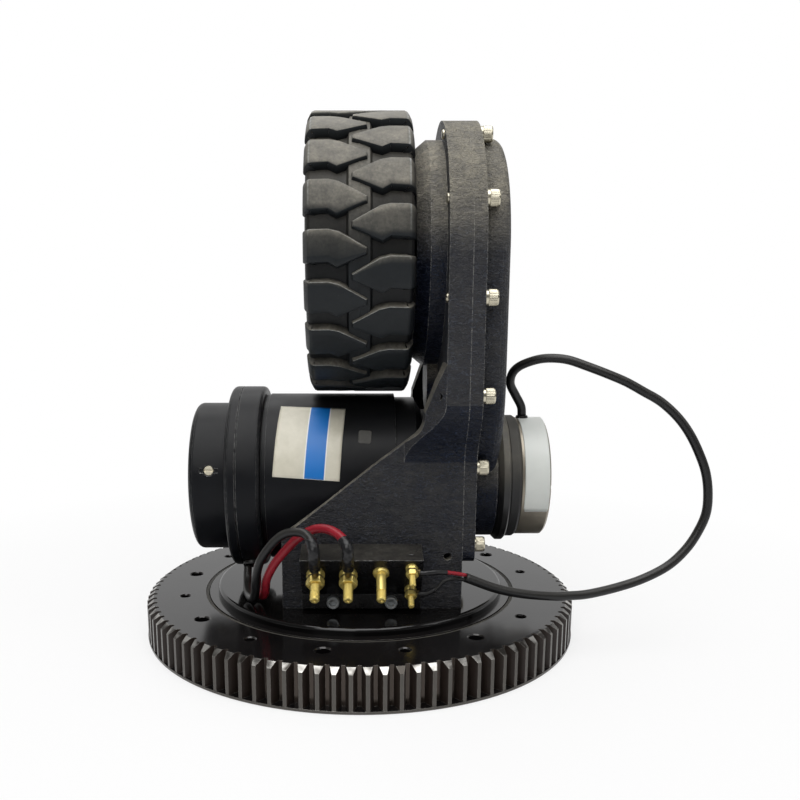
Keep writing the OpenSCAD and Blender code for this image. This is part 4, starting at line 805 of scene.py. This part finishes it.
def spare_rows():
    """A collar on the block, and a plain shank whose free end alone is threaded."""
    collar = [(-0.4, 0), (-0.4, COLLAR_R), (COLLAR_T - 1.2, COLLAR_R),
              (COLLAR_T - 0.3, COLLAR_R - 0.5), (COLLAR_T, COLLAR_R - 1.3),
              (COLLAR_T, POWER["r"] + 0.1), (COLLAR_T - 0.2, 0)]
    plain_to = POWER["length"] - SPARE_THREAD
    shank = [(SUNK, 0), (SUNK, POWER["r"]), (plain_to, POWER["r"])]
    thread = [(h, r) for h, r in thread_rows(start=0, **POWER) if h > plain_to]
    return collar, shank + thread


def make_studs():
    """Two threaded power studs, the spare one with its collar, and two signal studs."""
    spare = face_point(POWER_X[2], POWER_DOWN)
    places = [(face_point(x, POWER_DOWN), thread_rows(start=-SUNK, **POWER)) for x in POWER_X[:2]]
    power = places + [(spare, rows) for rows in spare_rows()]
    signal = [(face_point(SIGNAL_X, t), thread_rows(start=-SUNK, **SIGNAL)) for t in SIGNAL_DOWN]
    for name, studs, around, node in (
            ("power_stud_threads", power, POWER["around"], "power_studs"),
            ("signal_stud_threads", signal, SIGNAL["around"], "signal_studs")):
        parts = [turned(rows, at, FACE_OUT, ACROSS, around) for at, rows in studs]
        put_turned(name, parts, "brass", node)


make_studs()

# %% [markdown]
# ## Socket-head screws
#
# The cover's screws have knurled heads, which sparkle because every flute reflects the lamps
# apart. A head is one profile from the shank over the knurl into the hexagon socket, turned
# on a grid whose radius is waved along the knurl and six-sided inside the socket.

# %% Knurled heads


def head_rows(d, flutes, around):
    """Rows of a socket head of thread size d, from under the head to the socket's floor."""
    angle = circle(around)
    r, top, socket = d * 0.83, d, d * 0.42
    knurl = r - 0.035 * d * np.abs(np.sin(flutes * angle / 2))
    sixth = np.pi / 3
    hexagon = socket / np.cos((angle % sixth) - sixth / 2)
    return [(-1, 0), (-1, d * 0.48), (0, d * 0.5), (0, r - 0.35), (0.25, r - 0.05),
            (0.5, knurl), (top * 0.82, knurl), (top * 0.86, r - 0.1), (top * 0.96, r - 0.3),
            (top, r - 0.55), (top, d * 0.54), (top - 0.25, hexagon), (top * 0.5, hexagon),
            (top * 0.5, 0.3 * hexagon), (top * 0.5 - 0.4, 0)]


def screw_heads(name, places, d, axis, u, slot, node, flutes=36, tip=None):
    """Knurled heads whose undersides sit at the given places, in one piece that stands for a
    node. A tip's rows are turned at each place too, for the end that comes out behind."""
    around = flutes * 4
    shapes = [head_rows(d, flutes, around)] + ([tip] if tip else [])
    parts = [turned(rows, at, axis, u, around) for at in places for rows in shapes]
    put_turned(name, parts, slot, node)


# %% The cover's and the terminal block's screws
CASE_R, HALF_FOOT, CASE_BOTTOM, EDGE = 84, 65, 62, 4.8
MOTOR_Z, IDLER_Z = 107, 174.5
SEAT_X, WASHER_T, CASE_LEFT = 74, 1.5, 52


def cover_screw_places():
    """Four screws on the round top, and four down each straight side, as in the casting."""
    r = CASE_R - EDGE
    turns = np.radians([26.4, 68, -26.4, -68])
    top = [(r * math.sin(a), WHEEL_Z / MM + r * math.cos(a)) for a in turns]
    low = [(r, WHEEL_Z / MM - 27), (r, IDLER_Z - 2.5), (HALF_FOOT - EDGE, MOTOR_Z + 17.5),
           (HALF_FOOT - 12, CASE_BOTTOM + 10)]
    both = top + [(side * y, z) for side in (-1, 1) for y, z in low]
    return [(SEAT_X + WASHER_T, y, z) for y, z in both]


TERMINAL_PLACES = [(-17, -70.5, 39), (20.1, -70.5, 39)]
BEHIND = CASE_LEFT - SEAT_X - WASHER_T
TIP = [(BEHIND - 1.5, 0), (BEHIND - 1.5, 2.3), (BEHIND - 0.9, 2.9), (BEHIND + 1, 2.9),
       (BEHIND + 1, 0)]
screw_heads("cover_screw_heads", cover_screw_places(), 6, (1, 0, 0), (0, 1, 0), "screw_zinc",
            "cover_screws", tip=TIP)
screw_heads("terminal_screw_heads", TERMINAL_PLACES, 5, (0, -1, 0), (1, 0, 0), "screw_black",
            "terminal_screws", 32)

# %% [markdown]
# The motor's end cap is held by slotted screws. A slot could be cut with a boolean, but the
# grid of a turned head can hold it too: inside the slot its heights drop, and the circles of
# the top are close enough together to draw two straight edges.

# %% Slotted screws of the end cap
CAP_X, CAP_SEAT = -98, 49
CAP_TURNS = np.radians([75, -105, 165, -15])


def slotted_rows(around, r=3.3, top=1.8, slot_w=1, slot_deep=0.9, circles=24):
    """Rows of a slotted head: the height drops inside a straight slot across the middle."""
    angle = circle(around)
    rows = [(-0.6, 0), (-0.6, 2), (0, 2), (0, r), (top - 0.35, r)]
    for reach in np.linspace(r - 0.35, 0, circles):
        off = abs(reach * np.sin(angle))
        rows.append((top - slot_deep * np.clip((slot_w / 2 + 0.1 - off) / 0.1, 0, 1), reach))
    return rows


def make_cap_screws(around=64):
    """Four heads square to the cap's round wall, each with its slot along the motor."""
    parts = []
    for turn in CAP_TURNS:
        seat = about_x(CAP_X, CAP_SEAT, turn, MOTOR_Z)
        parts.append(turned(slotted_rows(around), seat, about_x(0, 1, turn, 0), ACROSS, around))
    put_turned("cap_screw_heads", parts, "screw_zinc", "end_cap_screws")


make_cap_screws()

# %% [markdown]
# ## Labels
#
# A rating label is stuck on the motor and a wide silver one on the brake. Both are kept free
# of any print here. A label is a thin sheet bent round a cylinder: a grid over its own width
# and height, with round corners, laid at the cylinder's radius and given a little thickness.

# %% Sheets on a cylinder


def label(name, radius, centre_x, centre_turn, width, height, tilt, corner, rows=33, columns=25):
    """Sheet of a width along the axis and a height round it, turned by a tilt on the surface.
    Near its ends each line across is shortened by the corner's round, which keeps one grid.
    Lengths are in millimetres, turn and tilt in degrees."""
    tilt = math.radians(tilt)
    q = np.linspace(-1, 1, rows)[:, None]
    p = np.linspace(-1, 1, columns)[None]
    down = q * height / 2
    into = np.maximum(abs(down) - (height / 2 - corner), 0)
    half = width / 2 - (corner - np.sqrt(corner**2 - into**2))
    across = p * half
    down = np.broadcast_to(down, across.shape)
    a = across * math.cos(tilt) - down * math.sin(tilt)
    b = across * math.sin(tilt) + down * math.cos(tilt)
    turn = math.radians(centre_turn) + b / radius
    points = about_x(centre_x + a, radius, turn, MOTOR_Z)
    piece = put_mesh(name, points * MM, grid_faces(rows, columns))
    uv = piece.data.uv_layers.new(name="sheet")
    corners = np.zeros(len(piece.data.loops), np.int32)
    piece.data.loops.foreach_get("vertex_index", corners)
    flat = np.stack([across / width + 0.5, 0.5 - down / height], -1).reshape(-1, 2)
    uv.data.foreach_set("uv", flat[corners].astype(np.float32).ravel())
    solid = piece.modifiers.new("thickness", "SOLIDIFY")
    solid.thickness, solid.offset = 0.12 * MM, 1
    return piece


# %% Films and the labels themselves
BAND_AT, BAND_HALF, LINE_HALF = 0.62, 0.144, 0.16


def rating_finish():
    """Cream film with one blue band along it, framed by two light lines."""
    material, tree, shader = new_material("rating_label")
    sheet = add(tree, "UVMap", uv_map="sheet").outputs[0]
    across = add(tree, "SeparateXYZ", {0: sheet}).outputs[0]
    where, _, _ = object_place(tree)
    smudge = use(tree, SMUDGES, {"Spots": 80})["Value"]
    colour = mixed(tree, smudge, linear(208, 203, 184), linear(226, 221, 204))
    off = maths(tree, "ABSOLUTE", maths(tree, "SUBTRACT", across, BAND_AT))
    for half, soft, shade in ((LINE_HALF, 0.005, linear(240, 240, 236)),
                              (BAND_HALF, 0.004, linear(14, 116, 200))):
        colour = mixed(tree, span(tree, off, half + soft, half), colour, shade)
    bump = add(tree, "Bump", {"Height": noise(tree, where, 120, 3),
                              "Distance": 0.06 * MM}).outputs[0]
    feed(tree, shader, {"Base Color": colour, "Normal": bump,
                        "Roughness": span(tree, smudge, 0, 1, 0.3, 0.42)})
    return material


FILMS = {
    "rating_label": rating_finish(),
    "stamp_pad": finish("stamp_pad", (72, 71, 67), (0.35, 0.5), tone=0.5, dust=0.1,
                        skin=(1500, 0.2)),
    "brake_label": finish("brake_label", (222, 225, 220), (0.3, 0.4), tone=0.08,
                          skin=(90, 0.05))}
YOKE_R, MAGNET_R, FILM_GAP = 57.5, 41, 0.03
LABELS = [
    ("rating_label", YOKE_R, -32.6, 53.8, 43.2, 57.6, 3.9, 1.6, "motor_black"),
    ("stamp_pad", YOKE_R, 3.4, 52.8, 8.5, 9.5, 4, 1.6, "motor_black"),
    ("brake_label", MAGNET_R, 117.6, 47.5, 16.4, 96.6, 0, 0.8, "brake_steel")]
for name, radius, *shape, slot in LABELS:
    sheet = label(name, radius + FILM_GAP, *shape)
    place(dress(sheet, FILMS[name]), "drive_unit", slot)

# %% [markdown]
# ## Cords
#
# Two thick leads run from the motor to their studs, and a thinner cable loops from the brake
# round to the small studs. A cord keeps one thickness along a smooth line, so it is a circle
# carried along a curve through listed points. The circle's directions are carried from point to
# point without twist.

# %% Smooth routes and tubes


def smooth_line(route, step=1.5):
    """Catmull-Rom curve in metres through a route in millimetres, a point every step or so."""
    p = np.array(route, float)
    p = np.vstack([2 * p[0] - p[1], p, 2 * p[-1] - p[-2]])
    parts = []
    for a, b, c, d in zip(p, p[1:], p[2:], p[3:]):
        n = max(2, int(np.linalg.norm(c - b) / step))
        t = (np.arange(n) / n)[:, None]
        parts.append(0.5 * (2 * b + (c - a) * t + (2 * a - 5 * b + 4 * c - d) * t**2
                            + (3 * b - a - 3 * c + d) * t**3))
    return np.vstack([*parts, p[-2:-1]]) * MM


def carried_frames(line):
    """Two unit vectors square to the line at each of its points, carried along untwisted."""
    along = np.gradient(line, axis=0)
    along /= np.linalg.norm(along, axis=1, keepdims=True)
    side = np.cross(along[0], [0.3, 0.5, 0.8])
    sides = []
    for direction in along:
        side = side - direction * (side @ direction)
        side = side / np.linalg.norm(side)
        sides.append(side)
    sides = np.array(sides)
    return sides, np.cross(along, sides)


def tube(name, line, radius, around=20):
    """Closed tube: point (i, k) is the line's point i plus radius towards angle k. The
    radius may be an array with a value for each i and k, and is none at both ends."""
    u, v = carried_frames(line)
    radii = np.zeros((len(line) + 2, around))
    radii[1:-1] = radius
    rows = np.r_[0, np.arange(len(line)), len(line) - 1]
    angle = circle(around)
    ring = np.cos(angle)[None, :, None] * u[:, None] + np.sin(angle)[None, :, None] * v[:, None]
    points = line[rows, None] + radii[..., None] * ring[rows]
    faces = grid_faces(len(rows), around, close_columns=True)[:, ::-1]
    return weld(put_mesh(name, points, faces))


# %% Routes of the cords, in millimetres
LEAD_D, CABLE_D, CORE_D = 5.6, 6, 2.4
BLACK_LEAD = [
    (-76.3, -32.5, 50.7), (-76.3, -36.9, 43), (-75.5, -45, 38.5), (-72.5, -56, 37),
    (-68.5, -68, 40), (-66, -76, 48), (-65, -80, 57), (-62, -83, 69), (-55, -85, 80),
    (-48, -87, 87), (-41, -89.5, 90), (-34, -93, 90.3), (-29.5, -98, 87.5),
    (-27.6, -101.6, 82.5), (-27.3, -101.3, 76.5), (-27.3, -96.6, 69.6)]
RED_LEAD = [
    (-69.7, -32.5, 50.7), (-69.7, -36.9, 43), (-68.5, -45.5, 38.8), (-65.5, -56, 38),
    (-62, -66, 41.5), (-60, -73, 48.5), (-58.5, -77, 56.5), (-53, -79, 67), (-45, -80, 77),
    (-38, -81.5, 84), (-28, -84.5, 90.5), (-18, -90, 91.5), (-10, -97, 88),
    (-7.3, -101.6, 83), (-7, -101.3, 76.5), (-7, -96.6, 69.6)]
BRAKE_CABLE = [
    (112.8, 0, 149.6), (112, -0.2, 156), (107.5, -2, 164), (103.5, -5, 171), (103, -8, 177),
    (105, -11, 182), (110, -14, 186), (119, -18, 189.5), (128, -21, 190.5), (138, -24, 189.5),
    (150, -27, 185.5), (162, -30, 181), (174, -32, 176), (185, -34, 170), (197, -36, 163),
    (208, -38, 153), (216, -40, 142), (222.5, -42, 129), (227, -43, 117), (229, -44, 104),
    (228.5, -45, 91), (224, -46, 79), (216, -48, 67), (204, -50, 56), (187, -53, 48),
    (169, -56, 43), (150, -60, 40), (137, -62, 39.5), (125, -64, 40), (105, -68, 43),
    (87, -72, 48), (67, -77.5, 57)]
RED_CORE = [(67, -77.5, 58.6), (61, -80, 60.5), (54, -84.5, 62.8), (48, -89, 64.5),
            (41.5, -90.6, 64.3)]
BLACK_CORE = [(67, -77.5, 55.4), (60, -77.8, 56.5), (53, -78, 54.5), (48, -78.6, 49.5),
              (41.5, -78.5, 46.6)]

# %% The cords themselves


def cord(name, route, diameter, stiffness, slot, *replaced):
    """Tube along a route, placed on the drive unit."""
    line = smooth_line(route)
    piece = place(tube(name, line, diameter / 2 * MM), "drive_unit", slot, *replaced)


cord("lead_black", BLACK_LEAD, LEAD_D, "medium", "cable_black", "motor_lead_black")
cord("lead_red", RED_LEAD, LEAD_D, "medium", "lead_red", "motor_lead_red")
cord("brake_cord", BRAKE_CABLE, CABLE_D, "medium", "cable_black", "brake_cable")
cord("core_red", RED_CORE, CORE_D, "limp", "lead_red", "brake_cores")
cord("core_black", BLACK_CORE, CORE_D, "limp", "cable_black")

# %% [markdown]
# Shrink sleeves cover the ends of the leads. Heat makes them cling and crumple, so a sleeve
# is the same tube a little wider than its lead, and its radius is dented by a few waves along
# and round it that never line up.

# %% Shrink sleeves
SLEEVE_AROUND = 32


def crumpled(line, radius, dent):
    """Radius plus three waves: each has its own turns round and its own length along. The
    two ends are drawn in on the lead."""
    along = np.r_[0, np.cumsum(np.linalg.norm(np.diff(line, axis=0), axis=1))] / MM
    angle = circle(SLEEVE_AROUND)
    s, a = np.meshgrid(along, angle, indexing="ij")
    waves = (np.sin(2 * a + 0.9 * s) + 0.8 * np.sin(3 * a - 1.7 * s + 1)
             + 0.7 * np.sin(5 * a + 2.6 * s + 2))
    radii = radius + dent * waves
    radii[[0, -1]] = radius - 0.5
    return radii * MM


def lug_end(route, shift=(0, 0.8, -1.2)):
    """The last points of a lead's route, and one more inside its cable lug."""
    return route[-4:] + [np.add(route[-1], shift)]


BARREL_X = 36.8
SLEEVES = {
    "black_lead_sleeve": (lug_end(BLACK_LEAD), 3.55, 0.1),
    "red_lead_sleeve": (lug_end(RED_LEAD), 3.55, 0.1),
    "red_core_sleeve": (RED_CORE[2:] + [(BARREL_X, *RED_CORE[-1][1:])], 1.75, 0.05),
    "black_core_sleeve": (BLACK_CORE[-2:] + [(BARREL_X, *BLACK_CORE[-1][1:])], 1.75, 0.05)}
for name, (route, radius, dent) in SLEEVES.items():
    line = smooth_line(route, 0.5)
    cover = tube(name, line, crumpled(line, radius, dent), SLEEVE_AROUND)
    replaced = ["lead_sleeves"] if name == "black_lead_sleeve" else []
    place(cover, "drive_unit", "sleeve_black", *replaced)

# %% [markdown]
# ## Floor and light
#
# The photograph shows the unit on pure white. A white world that only the camera and
# reflections see gives that, while the lamps alone light the part. The floor is a wide disc
# that fades to the same white, so that it has no horizon and still takes the shadow.

# %% The white world
WORLD_LIGHT = 0.05


def background_rays(tree):
    """1 for rays that show the background: the camera's, reflections and seen through glass."""
    path = add(tree, "LightPath").outputs
    glass = maths(tree, "MAXIMUM", path["Is Glossy Ray"], path["Is Transmission Ray"])
    return path["Is Camera Ray"], maths(tree, "MAXIMUM", path["Is Camera Ray"], glass)


def make_world():
    """White where it is seen, WORLD_LIGHT as light. In reflections the side that a studio
    keeps dark, in front of the object, is dimmer than the white backdrop behind it."""
    world = bpy.data.worlds.new("world")
    world.use_nodes = True
    tree = world.node_tree
    camera, seen = background_rays(tree)
    towards = add(tree, "SeparateXYZ", {0: add(tree, "TexCoord").outputs["Generated"]}).outputs
    backdrop = span(tree, towards[1], -0.2, 0.7, 0.14, 0.85)
    shown = maths(tree, "MAXIMUM", camera, backdrop)
    level = maths(tree, "MULTIPLY_ADD", seen, maths(tree, "SUBTRACT", shown, WORLD_LIGHT),
                  WORLD_LIGHT)
    feed(tree, tree.nodes["Background"].inputs, {"Color": (1, 1, 1, 1), "Strength": level})
    scene.world = world


make_world()

# %% The fading floor
FLOOR_Z, FLOOR_RINGS = -0.2, (0.5, 300, 600, 1000, 2000, 4000)
FADE_FROM, FADE_TO, FADE_START = 0.16, 0.5, 0.75


def make_floor():
    """Disc at the ring's base, in millimetres, whose shade turns to plain white between two
    distances in metres."""
    rows = [(FLOOR_Z, r) for r in FLOOR_RINGS]
    floor = put_mesh("floor", *turned(rows, (0, 0, 0), UP, ACROSS, 64))
    material, tree, shader = new_material("floor")
    feed(tree, shader, {"Base Color": (0.9, 0.9, 0.9, 1), "Roughness": 0.7})
    _, seen = background_rays(tree)
    where, _, _ = object_place(tree)
    fade = span(tree, vectors(tree, "LENGTH", where)[1], FADE_FROM, FADE_TO, FADE_START, 1)
    shaded = tree.nodes["Principled BSDF"].outputs[0]
    white = add(tree, "Emission").outputs[0]
    mix = add(tree, "MixShader", {0: times(tree, fade, seen), 1: shaded, 2: white})
    feed(tree, tree.nodes["Material Output"].inputs, {"Surface": mix.outputs[0]})
    dress(floor, material)


make_floor()

# %% Lamps
LAMPS = [
    ("top", (0, -0.35, 1.5), (0, -0.04, 0.2), 1.4, 22),
    ("front", (-0.5, -1.4, 1.15), (0, 0, 0.15), 0.9, 6),
    ("right", (1.4, -0.5, 1.1), (0.05, 0, 0.15), 0.7, 3),
    ("back", (-0.3, 1.1, 1.9), (0, 0, 0.15), 1, 5)]


def make_lamp(name, at, towards, size, watts):
    """Square soft lamp of the given size that faces a point."""
    light = bpy.data.lights.new(name, "AREA")
    light.size, light.energy = size, watts
    lamp = bpy.data.objects.new(name, light)
    lamp.location = at
    aim = Vector(towards) - Vector(at)
    lamp.rotation_euler = aim.to_track_quat("-Z", "Y").to_euler()
    scene.collection.objects.link(lamp)


for lamp in LAMPS:
    make_lamp(*lamp)
scene.view_settings.view_transform = "Standard"
print("lit by", len(LAMPS), "lamps")
